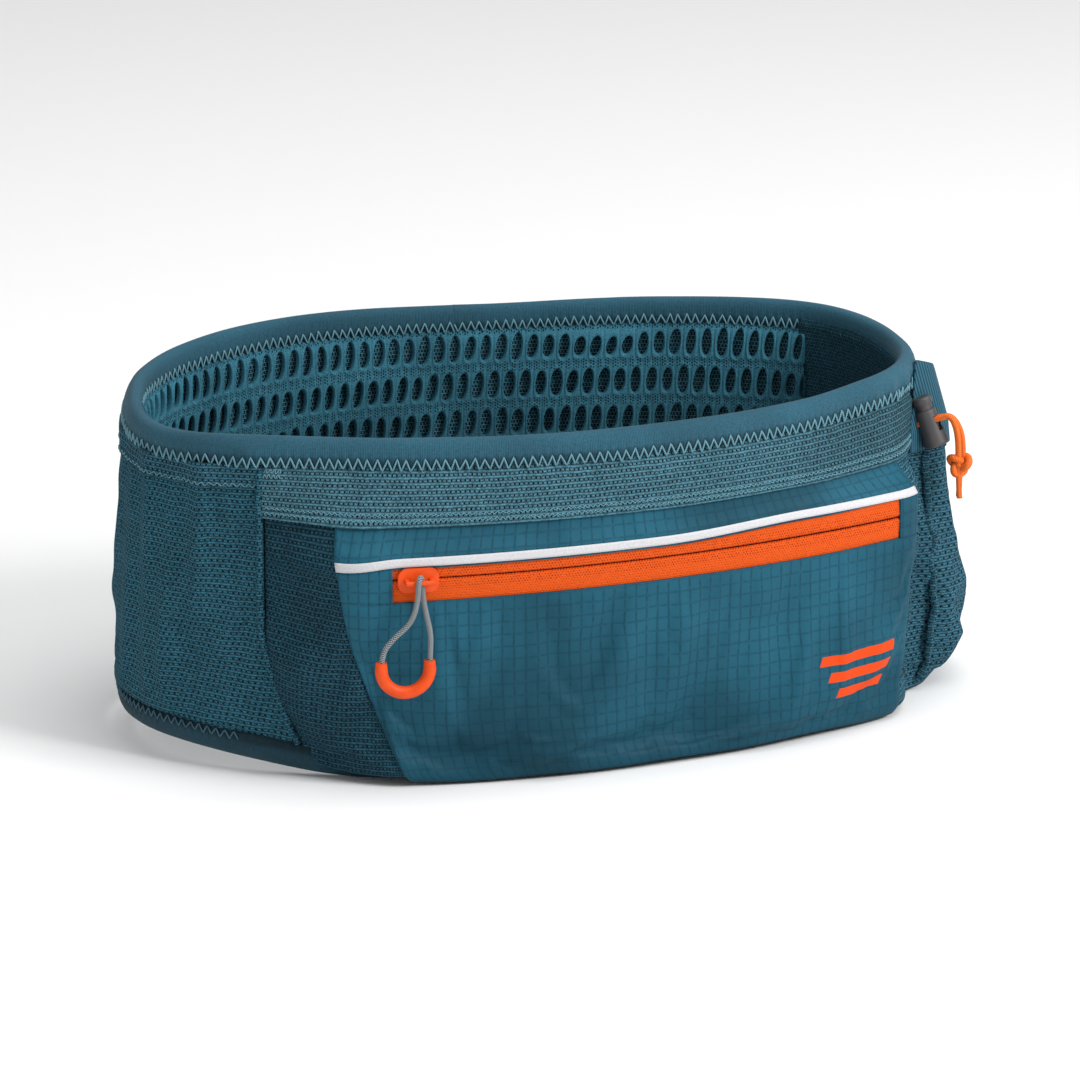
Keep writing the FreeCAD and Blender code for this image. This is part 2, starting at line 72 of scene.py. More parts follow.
# ---- sizes, from the frame ----
BINDING_OUT = 2.6
END_RADIUS = 66.0
rim_low, rim_high = cad_box("top_binding")
HEIGHT = rim_high[2]
HOOP_X, HOOP_Y = ((rim_low + rim_high) / 2)[:2]
HALF_WIDTH = (rim_high[0] - rim_low[0]) / 2 - BINDING_OUT
HALF_DEPTH = (rim_high[1] - rim_low[1]) / 2 - BINDING_OUT
REACH = HALF_WIDTH - END_RADIUS
FRONT_RADIUS = (REACH ** 2 + HALF_DEPTH ** 2 - END_RADIUS ** 2) / (2 * (HALF_DEPTH - END_RADIUS))
JOIN_ANGLE = math.atan2(REACH, FRONT_RADIUS - HALF_DEPTH)
FRONT_HALF = FRONT_RADIUS * JOIN_ANGLE
HOOP_HALF = 2 * (FRONT_HALF + END_RADIUS * (math.pi / 2 - JOIN_ANGLE))

SEAM_LEFT, SEAM_RIGHT, SEAM_REAR = -123.0, 155.0, 253.0
YOKE_LOW = cad_box("front_yoke_mesh")[0][2]
joints = {joint["name"]: joint for joint in frame["joints"]}
POCKET_CENTRE = np.array(joints["slider_travel"]["pos_m"][:2]) / MM
POCKET_RADIUS = POCKET_CENTRE[1] - cad_box("ripstop_lower_panel")[0][1]
POCKET_BEARING = 26.0 / FRONT_RADIUS
FACE_LEFT, FACE_RIGHT = -123.0, 117.0
ZIP_Z = (cad_box("zip_tape_upper")[0][2] + cad_box("zip_tape_lower")[1][2]) / 2
ZIP_LOW, ZIP_HIGH = ZIP_Z - 8.3, ZIP_Z + 5.2
ZIP_HALF = 104.6
STRIP_TALL = 3.0
BAIL = np.array(joints["pull_swing"]["pos_m"]) / MM
BAR = -np.array(joints["pull_swing"]["axis"])
PACK_IN = np.array([-BAR[1], BAR[0], 0.0])
LOCK = np.array([HOOP_X + 151, HOOP_Y - 39.3, 108.5])
LOCK_X = np.array(joints["lock_slide"]["axis"])
LOCK_Z = -np.array(joints["plunger_press"]["axis"])
LOCK_Y = np.cross(LOCK_Z, LOCK_X)


# ---- camera ----
def look(azimuth, elevation, distance, target, lens):
    turn, rise = math.radians(azimuth), math.radians(elevation)
    back = Vector((math.sin(turn) * math.cos(rise), -math.cos(turn) * math.cos(rise), math.sin(rise)))
    camera = put("camera", bpy.data.cameras.new("camera"))
    camera.location = Vector(target) + back * distance
    camera.rotation_euler = back.to_track_quat("Z", "Y").to_euler()
    camera.data.lens = lens
    camera.data.clip_end = 20
    bpy.context.scene.camera = camera


look(azimuth=-17, elevation=16.5, distance=2.5, target=(0.0049, -0.0024, 0.0634), lens=219)


# ---- materials ----
MATERIALS = {}


class Graph:
    """One material's nodes.  Its u and v are the mesh's uv places, in millimetres."""

    def __init__(self, name, roughness=0.8, **settings):
        self.name = name
        self.material = bpy.data.materials.new(name)
        self.material.use_nodes = True
        self.tree = self.material.node_tree
        self.shader = self.tree.nodes["Principled BSDF"]
        self.shader.inputs["Roughness"].default_value = roughness
        for key, value in settings.items():
            self.shader.inputs[key.replace("_", " ")].default_value = value
        spot = self.node("TexCoord")
        self.place = spot.outputs["Object"]
        split = self.node("SeparateXYZ", spot.outputs["UV"])
        self.u, self.v = split.outputs[0], split.outputs[1]

    def node(self, kind, *values, **settings):
        made = self.tree.nodes.new("ShaderNode" + kind)
        for key, value in settings.items():
            setattr(made, key, value)
        for socket, value in zip(made.inputs, values):
            self.feed(socket, value)
        return made

    def feed(self, socket, value):
        """Link a socket to another node's output, or set its number or colour."""
        if isinstance(value, bpy.types.NodeSocket):
            self.tree.links.new(value, socket)
        else:
            socket.default_value = (*value, 1.0) if isinstance(value, tuple) else value

    def math(self, operation, *values):
        return self.node("Math", *values, operation=operation).outputs[0]

    def plus(self, *values):
        return self.math("ADD", *values)

    def minus(self, *values):
        return self.math("SUBTRACT", *values)

    def times(self, *values):
        return self.math("MULTIPLY", *values)

    def size(self, value):
        return self.math("ABSOLUTE", value)

    def cell(self, value, pitch, shift=0.0):
        """Place inside a repeat, from -0.5 to 0.5."""
        turns = self.plus(self.math("DIVIDE", value, pitch), shift)
        return self.minus(self.math("FRACT", turns), 0.5)

    def odd(self, value, pitch):
        """0 and 1 on alternate rows."""
        return self.math("MODULO", self.math("FLOOR", self.math("DIVIDE", value, pitch)), 2.0)

    def step(self, value, low, high, start=0.0, end=1.0):
        """Run smoothly from start to end as the value goes from low to high."""
        made = self.node("MapRange", value, low, high, start, end, interpolation_type="SMOOTHSTEP")
        return made.outputs[0]

    def length(self, a, b, stretch=1.0):
        """Length of (a, b), with b stretched."""
        return self.math("SQRT", self.plus(self.times(a, a), self.times(self.times(b, b), stretch ** 2)))

    def noise(self, size_mm, detail=3.0):
        """Soft noise in space, about 0.5."""
        made = self.node("TexNoise", self.place)
        made.inputs["Scale"].default_value = 1 / (size_mm * MM)
        made.inputs["Detail"].default_value = detail
        return made.outputs["Fac"]

    def mottle(self, size_mm, low, high, detail=3.0):
        """A tone that wanders from low to high over patches of about size_mm."""
        return self.step(self.noise(size_mm, detail), 0.3, 0.7, low, high)

    def mix(self, factor, first, second):
        made = self.tree.nodes.new("ShaderNodeMix")
        made.data_type = "RGBA"
        for index, value in ((0, factor), (6, first), (7, second)):
            self.feed(made.inputs[index], value)
        return made.outputs[2]

    def shade(self, colour, amount):
        """Multiply a colour's brightness."""
        tint = self.node("HueSaturation")
        self.feed(tint.inputs["Color"], colour)
        self.feed(tint.inputs["Value"], amount)
        return tint.outputs[0]

    def bump(self, height, depth_mm, strength=1.0):
        made = self.node("Bump")
        made.inputs["Strength"].default_value = strength
        made.inputs["Distance"].default_value = depth_mm * MM
        self.feed(made.inputs["Height"], height)
        self.tree.links.new(made.outputs[0], self.shader.inputs["Normal"])

    def finish(self, colour, roughness=None):
        """Set the colour, and keep the material in MATERIALS."""
        self.feed(self.shader.inputs["Base Color"], colour)
        if roughness is not None:
            self.feed(self.shader.inputs["Roughness"], roughness)
        MATERIALS[self.name] = self.material


def length_along(path):
    """Distance from a path's first point to each of its points."""
    return np.concatenate([[0], np.cumsum(np.linalg.norm(np.diff(path, axis=0), axis=1))])


# Pitch of the bindings' zigzag stitches.
STITCH = 3.5
# Section of the folded binding: offset outwards, and depth below the rim.
BINDING_SECTION = [(2.3, 10.8), (3.0, 10.2), (3.3, 8.6), (3.4, 6.6), (3.3, 4.8), (2.8, 3.0), (2.0, 1.4),
                   (0.8, 0.35), (-0.6, 0.0), (-2.0, 0.35), (-3.0, 1.4), (-3.5, 3.0), (-3.6, 5.0), (-3.4, 7.0),
                   (-3.2, 8.6), (-3.0, 9.6), (-2.5, 10.2)]
BINDING_RUN = length_along(BINDING_SECTION)
DEEP_TEAL = (0.001, 0.008, 0.013)


def binding_material(name, tone=1.0):
    """Smooth jersey of the folded bindings: fine upright ribs with a soft bloom, drawn in under the stitches
    along both edges, where the colour is darkened as painted shade."""
    g = Graph(name, 0.85, Sheen_Weight=0.06, Specular_IOR_Level=0.2)
    rib = g.size(g.cell(g.u, 0.62))
    course = g.size(g.cell(g.v, 0.5, g.odd(g.u, 0.62)))
    height = g.plus(rib, g.times(course, 0.5))
    fuzz = g.noise(0.7, 5.0)
    height = g.plus(height, fuzz)
    colour = g.mix(g.step(height, 0.3, 1.2), (0.007, 0.047, 0.074), (0.027, 0.102, 0.149))
    g.bump(height, 0.16, 0.9)
    # Painted shade: the colour is darkened to half along both edges, under the stitches.
    outer = g.step(g.v, 2.6, 5.2, 0.5, 1.0)
    inner = g.step(g.v, BINDING_RUN[-1] - 2.2, BINDING_RUN[-1] - 4.8, 0.5, 1.0)
    colour = g.shade(colour, g.times(outer, inner))
    g.finish(g.shade(colour, g.mottle(38.0, 0.88 * tone, 1.1 * tone, 2.0)))


def hole_mesh_material(name, pitch, hole, light, stretch=1.0, right=1.0):
    """Stretch mesh: staggered rows of small holes between horizontal threads.

    pitch is along a row and between rows, hole is a hole's radius as a share of the pitch, and right is
    the tone at the right end, a painted shade that darkens the colour towards it."""
    g = Graph(name, 0.88, Specular_IOR_Level=0.12)
    pitch_u, pitch_v = pitch
    wobble = g.times(g.minus(g.noise(4.0, 2.0), 0.5), 0.5)
    u = g.plus(g.u, wobble)
    v = g.plus(g.v, wobble)
    a = g.cell(u, pitch_u, g.times(g.odd(v, pitch_v), 0.5))
    b = g.cell(v, pitch_v)
    uneven = g.times(g.minus(g.noise(2.2, 1.0), 0.5), 0.22)
    away = g.plus(g.length(a, b, stretch), uneven)
    open_hole = g.step(away, hole, hole * 0.55)
    thread = g.size(g.cell(v, pitch_v / 2.0))
    yarn = g.size(g.cell(g.plus(u, g.times(v, 0.5)), pitch_u / 3.0))
    relief = g.plus(g.times(thread, 0.9), g.times(yarn, 0.4))
    cloth = g.mix(g.step(relief, 0.12, 0.5), tuple(c * 0.28 for c in light), tuple(c * 1.06 for c in light))
    # Painted shade: darker from 20 to 125 mm along, down to the tone right; the mottle is random tone.
    tone = g.times(g.mottle(26.0, 0.92, 1.07, 2.0), g.step(g.u, 20.0, 125.0, 1.0, right))
    # Fine specks of brighter and darker yarn: partly random yarn tone, partly painted highlights.
    cloth = g.shade(cloth, g.times(tone, g.step(g.noise(1.0, 2.0), 0.36, 0.64, 0.72, 1.26)))
    height = g.minus(relief, g.times(open_hole, 1.6))
    g.bump(height, 0.32, 0.8)
    g.finish(g.mix(open_hole, cloth, DEEP_TEAL))


def ripstop_material(name, printed=False):
    """Coated ripstop: a dark grid of reinforcing threads about 4.5 mm apart on a fine weave.

    The printed one also has a plain mark of three bars near its lower right corner."""
    g = Graph(name, 0.64, Specular_IOR_Level=0.10)
    wobble = g.times(g.minus(g.noise(9.0, 2.0), 0.5), 0.5)
    faint = g.step(g.noise(1.6, 2.0), 0.3, 0.62, 0.35, 1.0)
    lines = []
    for place, pitch, strength in ((g.u, 4.3, 0.85), (g.v, 4.7, 0.6)):
        off = g.size(g.cell(g.plus(place, wobble), pitch))
        lines.append(g.times(g.step(off, 0.15, 0.02), strength))
    line = g.times(g.math("MAXIMUM", *lines), faint)
    weave = g.times(g.size(g.cell(g.u, 0.34)), g.size(g.cell(g.v, 0.34)))
    cloth = g.mix(g.step(weave, 0.0, 0.2), (0.009, 0.067, 0.104), (0.016, 0.088, 0.131))
    # Painted light and shade: patches for the folds' shading, and the colour darkened towards the foot.
    painted_foot_shade = g.step(g.v, 12.0, 55.0, 0.84, 1.04)
    cloth = g.shade(cloth, g.times(g.mottle(62.0, 0.72, 1.30, 2.0), painted_foot_shade))
    colour = g.mix(g.times(line, 0.6), cloth, (0.003, 0.024, 0.041))
    if printed:
        slanted = g.minus(g.u, g.times(g.v, 0.35))
        for middle, left, right in MARK_BARS:
            across = g.step(g.size(g.minus(g.v, middle)), 1.95, 1.75)
            inside = g.times(g.step(slanted, left, left + 0.3), g.step(slanted, right, right - 0.3))
            colour = g.mix(g.times(across, inside), colour, (0.70, 0.062, 0.008))
    height = g.plus(g.times(line, 0.8), g.times(weave, 0.3))
    g.bump(height, 0.09, 0.5)
    g.finish(colour, g.mottle(3.0, 0.52, 0.62))


def air_mesh_material():
    """Face of the spacer mesh: smooth yarn round the big holes, small pores between the rows."""
    g = Graph("air_mesh", 0.88, Specular_IOR_Level=0.15)
    a = g.cell(g.u, 1.0)
    b = g.cell(g.v, 1.15, g.times(g.odd(g.u, 1.0), 0.4))
    pore = g.step(g.length(a, b), 0.42, 0.2)
    row = g.cell(g.minus(g.v, AIR_TOP), AIR_ROW)
    band = g.step(g.size(row), 0.35, 0.39)
    group = g.step(g.size(g.cell(g.minus(g.u, AIR_START), AIR_PITCH / 2)), 0.42, 0.32)
    pore = g.times(pore, g.times(band, group))
    fibre = g.noise(0.45, 3.0)
    cloth = g.mix(g.step(fibre, 0.3, 0.75), (0.018, 0.098, 0.146), (0.052, 0.190, 0.255))
    # Painted shade: the face is darkened towards its foot, to half its colour 60 mm below the top row.
    cloth = g.shade(cloth, g.step(g.v, AIR_TOP - 60, AIR_TOP, 0.5, 1.05))
    g.bump(g.minus(fibre, g.times(pore, 1.5)), 0.3, 0.7)
    g.finish(g.mix(pore, g.shade(cloth, g.mottle(30.0, 0.85, 1.1, 2.0)), (0.003, 0.018, 0.028)))


def zip_material():
    """Zip tape: rows of knitted stitch holes beside the line, then fine twill."""
    g = Graph("zip_tape", 0.75, Specular_IOR_Level=0.15)
    away = g.size(g.v)
    a = g.cell(g.u, 1.1, g.times(g.odd(away, 0.95), 0.5))
    b = g.cell(away, 0.95)
    pore = g.step(g.length(a, b, 0.8), 0.36, 0.14)
    beside_line = g.step(away, 4.3, 3.7, 0.55, 1.0)
    uneven = g.step(g.noise(1.2, 2.0), 0.36, 0.58, 0.35, 1.0)
    pore = g.times(pore, g.times(beside_line, uneven))
    slant = g.plus(g.u, g.times(away, 0.8))
    twill = g.size(g.cell(slant, 0.62))
    row = g.size(g.cell(away, 0.55))
    relief = g.plus(twill, g.times(row, 0.6))
    cloth = g.mix(g.step(relief, 0.1, 0.65), (0.52, 0.048, 0.003), (0.86, 0.124, 0.012))
    g.bump(g.minus(relief, g.times(pore, 1.2)), 0.2, 0.9)
    g.finish(g.mix(g.times(pore, 0.85), cloth, (0.27, 0.016, 0.001)))


def braid_material(name, base, fleck, strands, pitch, radius, fleck_amount):
    """Braided cord: two crossing sets of yarns, one of them flecked."""
    g = Graph(name, 0.75, Specular_IOR_Level=0.25)
    round_turns = g.math("DIVIDE", g.u, math.tau * radius)
    along = g.math("DIVIDE", g.v, pitch)
    one = g.size(g.cell(g.times(g.plus(round_turns, along), strands / 2), 1.0))
    two = g.size(g.cell(g.times(g.minus(round_turns, along), strands / 2), 1.0))
    over = g.math("GREATER_THAN", one, two)
    height = g.minus(1.0, g.math("MINIMUM", one, two))
    colour = g.mix(g.times(over, fleck_amount), base, fleck)
    # Painted shade: the colour is darkened where the yarns meet and dip between each other.
    edge = g.step(g.math("MINIMUM", one, two), 0.0, 0.22, 0.55, 1.0)
    g.bump(g.times(height, -1.0), 0.22, 0.9)
    g.finish(g.shade(colour, edge))


def plastic_material(name, colour, roughness, grain_mm=0.35, depth=0.05, **settings):
    """Moulded plastic with a fine spark-eroded grain and slightly worn, paler patches."""
    g = Graph(name, roughness, **settings)
    g.bump(g.noise(grain_mm, 4.0), depth, 0.5)
    rough = g.mottle(3.0, roughness * 0.85, roughness * 1.12)
    g.finish(g.shade(colour, g.mottle(6.0, 0.9, 1.1)), rough)


def thread_material(name, colour):
    """Sewing thread: plies twisted along its length."""
    g = Graph(name, 0.6, Specular_IOR_Level=0.3)
    ply = g.size(g.cell(g.plus(g.v, g.times(g.u, 0.6)), 0.7))
    g.bump(ply, 0.08, 0.8)
    # Painted shade and highlight: darker in the grooves between plies, lighter on their crests.
    g.finish(g.shade(colour, g.step(ply, 0.0, 0.5, 0.7, 1.15)))


def reflective_material():
    """Reflective tape: pale grey with a fine bead sparkle."""
    g = Graph("reflective", 0.5, Specular_IOR_Level=0.5)
    beads = g.noise(0.25, 2.0)
    g.bump(beads, 0.03, 0.6)
    g.finish(g.mix(g.step(beads, 0.35, 0.65), (0.46, 0.46, 0.48), (0.62, 0.62, 0.64)))


def webbing_material():
    """Ribbed elastic webbing: close upright cords."""
    g = Graph("ribbed_webbing", 0.8, Specular_IOR_Level=0.2)
    rib = g.size(g.cell(g.u, 1.05))
    pick = g.size(g.cell(g.v, 0.7, g.times(g.odd(g.u, 1.05), 0.5)))
    height = g.minus(g.times(pick, 0.3), rib)
    g.bump(height, 0.35, 0.8)
    g.finish(g.mix(g.step(rib, 0.2, 0.48), (0.026, 0.105, 0.155), (0.003, 0.020, 0.031)))


# Spacer mesh: hole pitch, row pitch, top of the first row, and where its first column starts.
AIR_PITCH, AIR_ROW = 6.4, 14.8
AIR_TOP = HEIGHT - 9.6
AIR_START, AIR_END = HOOP_HALF - 144, HOOP_HALF + 184
AIR_HOLE = np.array([4.3, 10.0])
# Middle of the stretch whose first row of holes is pulled half shut.
CRUSHED = HOOP_HALF - 62
# The mark's bars: height, left and right ends.
MARK_BARS = ((32.0, 56.0, 92.0), (25.5, 62.0, 92.0), (19.0, 68.0, 92.0))
MESH_PITCH, KNIT_PITCH, SPACER_PITCH = (1.9, 2.1), (1.3, 1.3), (1.3, 1.5)

binding_material("binding_knit")
# The yoke's mesh, darkened towards its right end as painted shade.
hole_mesh_material("outer_mesh", MESH_PITCH, 0.24, (0.068, 0.180, 0.236), 1.05, right=0.64)
hole_mesh_material("left_mesh", MESH_PITCH, 0.23, (0.032, 0.130, 0.186), 1.1)
# The left wing: the left pocket's mesh in a darker copy, as painted shade.
hole_mesh_material("wing_mesh", MESH_PITCH, 0.25, (0.018, 0.074, 0.110), 1.1)
hole_mesh_material("right_mesh", MESH_PITCH, 0.24, (0.038, 0.130, 0.184), 1.1)
hole_mesh_material("inner_knit", KNIT_PITCH, 0.27, (0.016, 0.068, 0.100))
hole_mesh_material("spacer_back", SPACER_PITCH, 0.33, (0.052, 0.170, 0.230), 0.7)
ripstop_material("ripstop")
ripstop_material("ripstop_printed", True)
air_mesh_material()
zip_material()
reflective_material()
webbing_material()
thread_material("thread", (0.120, 0.280, 0.345))
braid_material("grey_cord", (0.028, 0.038, 0.043), (0.46, 0.50, 0.52), 8, 3.4, 1.0, 0.9)
braid_material("orange_bungee", (0.90, 0.125, 0.006), (0.98, 0.34, 0.08), 10, 3.6, 1.2, 0.5)
plastic_material("orange_grip", (0.72, 0.066, 0.002), 0.5, Specular_IOR_Level=0.3)
plastic_material("slider_paint", (0.74, 0.072, 0.003), 0.42, 0.8, 0.03, Specular_IOR_Level=0.3)
# The bottom binding: the same jersey, darkened to 0.55 as painted shade.
binding_material("low_binding", 0.55)
thread_material("thread_dark", (0.045, 0.125, 0.165))
plastic_material("zip_coil", (0.30, 0.022, 0.002), 0.5)
plastic_material("lock_plastic", (0.052, 0.048, 0.050), 0.5, 0.4, 0.08)
plastic_material("spring_steel", (0.55, 0.55, 0.56), 0.3, Metallic=1.0)


# ---- mesh helpers ----
def smoothstep(value):
    value = np.clip(value, 0, 1)
    return value * value * (3 - 2 * value)


def wave(u, v, seed, size, count=6):
    """Soft, repeatable undulation from -1 to 1."""
    rng = np.random.default_rng(seed)
    total = 0.0
    for _ in range(count):
        heading = rng.uniform(0, math.tau)
        number = math.tau / (size * rng.uniform(0.7, 1.6))
        turn = (u * math.cos(heading) + v * math.sin(heading)) * number
        total = total + np.sin(turn + rng.uniform(0, math.tau))
    return total / count


def unit(vectors):
    return vectors / np.linalg.norm(vectors, axis=-1, keepdims=True)


def constant(value):
    """A function that is the same everywhere."""
    return lambda place, *_: np.full(np.shape(place), float(value))


# How far the limp hoop moves from the CAD's upright one, at most.
LEFT_LEANS_IN, REAR_LEANS_OUT = 5.0, 4.0
LEFT_FOOT_LIFTS = 8.5
REAR_LEFT_RISES, REAR_RIGHT_RISES = 4.6, 2.4
FRONT_LEFT_SAGS, FRONT_SAGS = 4.4, 1.7


def settle(points):
    """How the limp hoop really stands: its left side lifts off the table, its rear rim rises, its left
    end leans in, and its rim sags at the front left."""
    points = np.array(points, float)
    x, y, z = points[..., 0] - HOOP_X, points[..., 1] - HOOP_Y, points[..., 2]
    low = np.clip(1 - z / HEIGHT, 0, 1) ** 1.3
    high = np.clip(z / HEIGHT, 0, 1) ** 2
    left = smoothstep((-x - 78) / 72)
    left_end = smoothstep((-x - 90) / 50) * smoothstep((y + 30) / 50)
    rear_left = np.exp(-((x + 70) / 75) ** 2 - ((y - 70) / 45) ** 2)
    rear_right = smoothstep(x / 120) * smoothstep((y + 12) / 55)
    front = smoothstep((-y - 30) / 40) * smoothstep((130 - x) / 40)
    front_left = np.exp(-((x + 147) / 36) ** 2 - ((y + 30) / 34) ** 2)
    rim = REAR_LEFT_RISES * rear_left + REAR_RIGHT_RISES * rear_right
    rim = rim - FRONT_LEFT_SAGS * front_left - FRONT_SAGS * front
    points[..., 0] += LEFT_LEANS_IN * left_end * high
    points[..., 1] += REAR_LEANS_OUT * rear_right * high
    points[..., 2] += LEFT_FOOT_LIFTS * left * low + rim * high
    return points


def add_mesh(name, points, faces, uv, material, slot, body="belt", replaced=()):
    """A mesh piece from points in millimetres, with a uv place in millimetres for each point.

    It takes the place of the CAD nodes in replaced."""
    mesh = bpy.data.meshes.new(name)
    faces = faces.tolist() if isinstance(faces, np.ndarray) else faces
    mesh.from_pydata((np.asarray(points, float).reshape(-1, 3) * MM).tolist(), [], faces)
    layer = mesh.uv_layers.new(name="weave")
    loops = np.zeros(len(mesh.loops), np.int32)
    mesh.loops.foreach_get("vertex_index", loops)
    layer.data.foreach_set("uv", np.asarray(uv, np.float32).reshape(-1, 2)[loops].ravel())
    mesh.polygons.foreach_set("use_smooth", np.full(len(mesh.polygons), True))
    mesh.materials.append(MATERIALS[material])
    mesh.update()
    piece = put(name, mesh)
    if body:
        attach(piece, body)
    if replaced:
        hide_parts(*replaced)
    return piece


def grid_faces(rows, columns, closed_rows=False, closed_columns=False):
    r = np.arange(rows if closed_rows else rows - 1)
    c = np.arange(columns if closed_columns else columns - 1)
    r, c = np.meshgrid(r, c, indexing="ij")
    r2, c2 = (r + 1) % rows, (c + 1) % columns
    corners = [r * columns + c, r * columns + c2, r2 * columns + c2, r2 * columns + c]
    return np.stack(corners, -1).reshape(-1, 4)


# Rows and columns of each cloth piece.
GRIDS = {}


def cloth(name, points, uv, material, slot, thick, replaced=()):
    """A cloth piece over a grid of points, thickened inwards."""
    GRIDS[name] = points.shape[:2]
    faces = grid_faces(*GRIDS[name])
    piece = add_mesh(name, points, faces, np.stack(uv, -1), material, slot, replaced=replaced)
    solid = piece.modifiers.new("thickness", "SOLIDIFY")
    solid.thickness = thick * MM
    solid.offset = -1.0
    return piece


def sheet(name, surface, along, heights, material, slot, thick, replaced=()):
    """A cloth panel over places along and up a surface(along, height)."""
    a, z = np.meshgrid(along, heights)
    return cloth(name, settle(surface(a, z)), (a, z), material, slot, thick, replaced)


def carried_side(ahead):
    """A sideways direction for each step of a path, turning as little as it can."""
    side = np.cross(ahead[0], [0.3, 0.2, 1.0])
    sides = []
    for direction in ahead:
        side = unit(side - direction * side.dot(direction))
        sides.append(side)
    return np.array(sides)


def tube(name, path, radius, sides, material, slot, body="belt", outward=None, replaced=()):
    """A closed tube round a path, with uv places round it and along it."""
    path = np.asarray(path, float)
    ahead = unit(np.gradient(path, axis=0))
    side = carried_side(ahead) if outward is None else unit(np.cross(ahead, outward))
    up = np.cross(side, ahead)
    turn = np.linspace(0, math.tau, sides, endpoint=False)
    radius = np.broadcast_to(radius, len(path))[:, None, None]
    ring = side[:, None] * np.cos(turn)[None, :, None] + up[:, None] * np.sin(turn)[None, :, None]
    uv = np.stack(np.broadcast_arrays(turn[None, :] * radius[:, :, 0], length_along(path)[:, None]), -1)
    first = np.arange(sides)
    faces = grid_faces(len(path), sides, closed_columns=True).tolist()
    faces += [first[::-1].tolist(), (first + (len(path) - 1) * sides).tolist()]
    return add_mesh(name, path[:, None] + ring * radius, faces, uv, material, slot, body, replaced)


# ---- the hoop and the pocket as surfaces ----
def hoop(along, out=0.0):
    """Plan places on the hoop line, moved outwards."""
    along = (np.asarray(along, float) + HOOP_HALF) % (2 * HOOP_HALF) - HOOP_HALF
    side = np.where(along < 0, -1.0, 1.0)
    along = np.abs(along)
    rear = along > HOOP_HALF / 2
    along = np.where(rear, HOOP_HALF - along, along)
    turn = along / FRONT_RADIUS
    front_x = (FRONT_RADIUS + out) * np.sin(turn)
    front_y = FRONT_RADIUS - HALF_DEPTH - (FRONT_RADIUS + out) * np.cos(turn)
    turn = JOIN_ANGLE + (along - FRONT_HALF) / END_RADIUS
    end_x = REACH + (END_RADIUS + out) * np.sin(turn)
    end_y = -(END_RADIUS + out) * np.cos(turn)
    on_front = along <= FRONT_HALF
    x = np.where(on_front, front_x, end_x) * side
    y = np.where(on_front, front_y, end_y)
    return np.stack([x + HOOP_X, np.where(rear, -y, y) + HOOP_Y], -1)


def standing(plan, height):
    """Points over plan places, at their heights."""
    return np.concatenate([plan, np.asarray(height, float)[..., None]], -1)


def hoop_surface(offset):
    """A surface over the hoop whose offset is a function of place along and height."""
    def surface(along, height, lift=0.0):
        return standing(hoop(along, offset(along, height) + lift), height)
    return surface


def lifted(surface, rise):
    return lambda along, height, lift=0.0: surface(along, height, lift + rise)


def face_plan(t):
    """Plan places on the flat pocket face, by arc length from its middle."""
    turn = POCKET_BEARING + np.asarray(t, float) / POCKET_RADIUS
    return POCKET_CENTRE + POCKET_RADIUS * np.stack([np.sin(turn), -np.cos(turn)], -1)


# How far the front's outer layer lies off the hoop line at its seams, and the widths of its wings.
SKIN_OUT = 2.4
seam_right = hoop(SEAM_RIGHT, SKIN_OUT)
WING_LEFT = np.linalg.norm(hoop(SEAM_LEFT, SKIN_OUT) - face_plan(FACE_LEFT))
WING_RIGHT = np.linalg.norm(seam_right - face_plan(FACE_RIGHT))
SKIN_LEFT, SKIN_RIGHT = FACE_LEFT - WING_LEFT, FACE_RIGHT + WING_RIGHT


def seam_left(height):
    """The left seam leans in towards the front near its foot."""
    return SEAM_LEFT + 3 + 18 * np.clip((60 - np.asarray(height, float)) / 60, 0, 1) ** 1.5


def bent_plan(t, height):
    """The pocket's outer plan line at a height: wing, flat face, wing."""
    t = np.clip(t, SKIN_LEFT, SKIN_RIGHT)
    lean = seam_left(height) - SEAM_LEFT
    face = face_plan(np.clip(t, FACE_LEFT, FACE_RIGHT) + lean * np.clip((FACE_LEFT + 26 - t) / 26, 0, 1))
    left = np.clip((FACE_LEFT - t) / WING_LEFT, 0, 1)[..., None]
    right = np.clip((t - FACE_RIGHT) / WING_RIGHT, 0, 1)[..., None]
    return face * (1 - left - right) + hoop(seam_left(height), SKIN_OUT) * left + seam_right * right


def round_plan(t, height):
    """The same line with its two corners rounded."""
    soft = 11.0 * smoothstep((t - SKIN_LEFT) / 14) * smoothstep((SKIN_RIGHT - t) / 14)
    shifts = np.linspace(-1, 1, 9)
    return sum(bent_plan(t + shift * soft, height) for shift in shifts) / len(shifts)


def stand_off(height):
    """How far the front's outer layer stands away from the hoop at a height, from 0 to 1."""
    yoke = 0.38 * np.clip((121 - height) / 20, 0, 1) ** 2
    panel = yoke + (1 - yoke) * smoothstep((YOKE_LOW + 3 - height) / 17)
    return panel * (1 - 0.30 * smoothstep((42 - height) / 42) ** 1.4
                    - 0.22 * smoothstep((8 - height) / 8) ** 2)


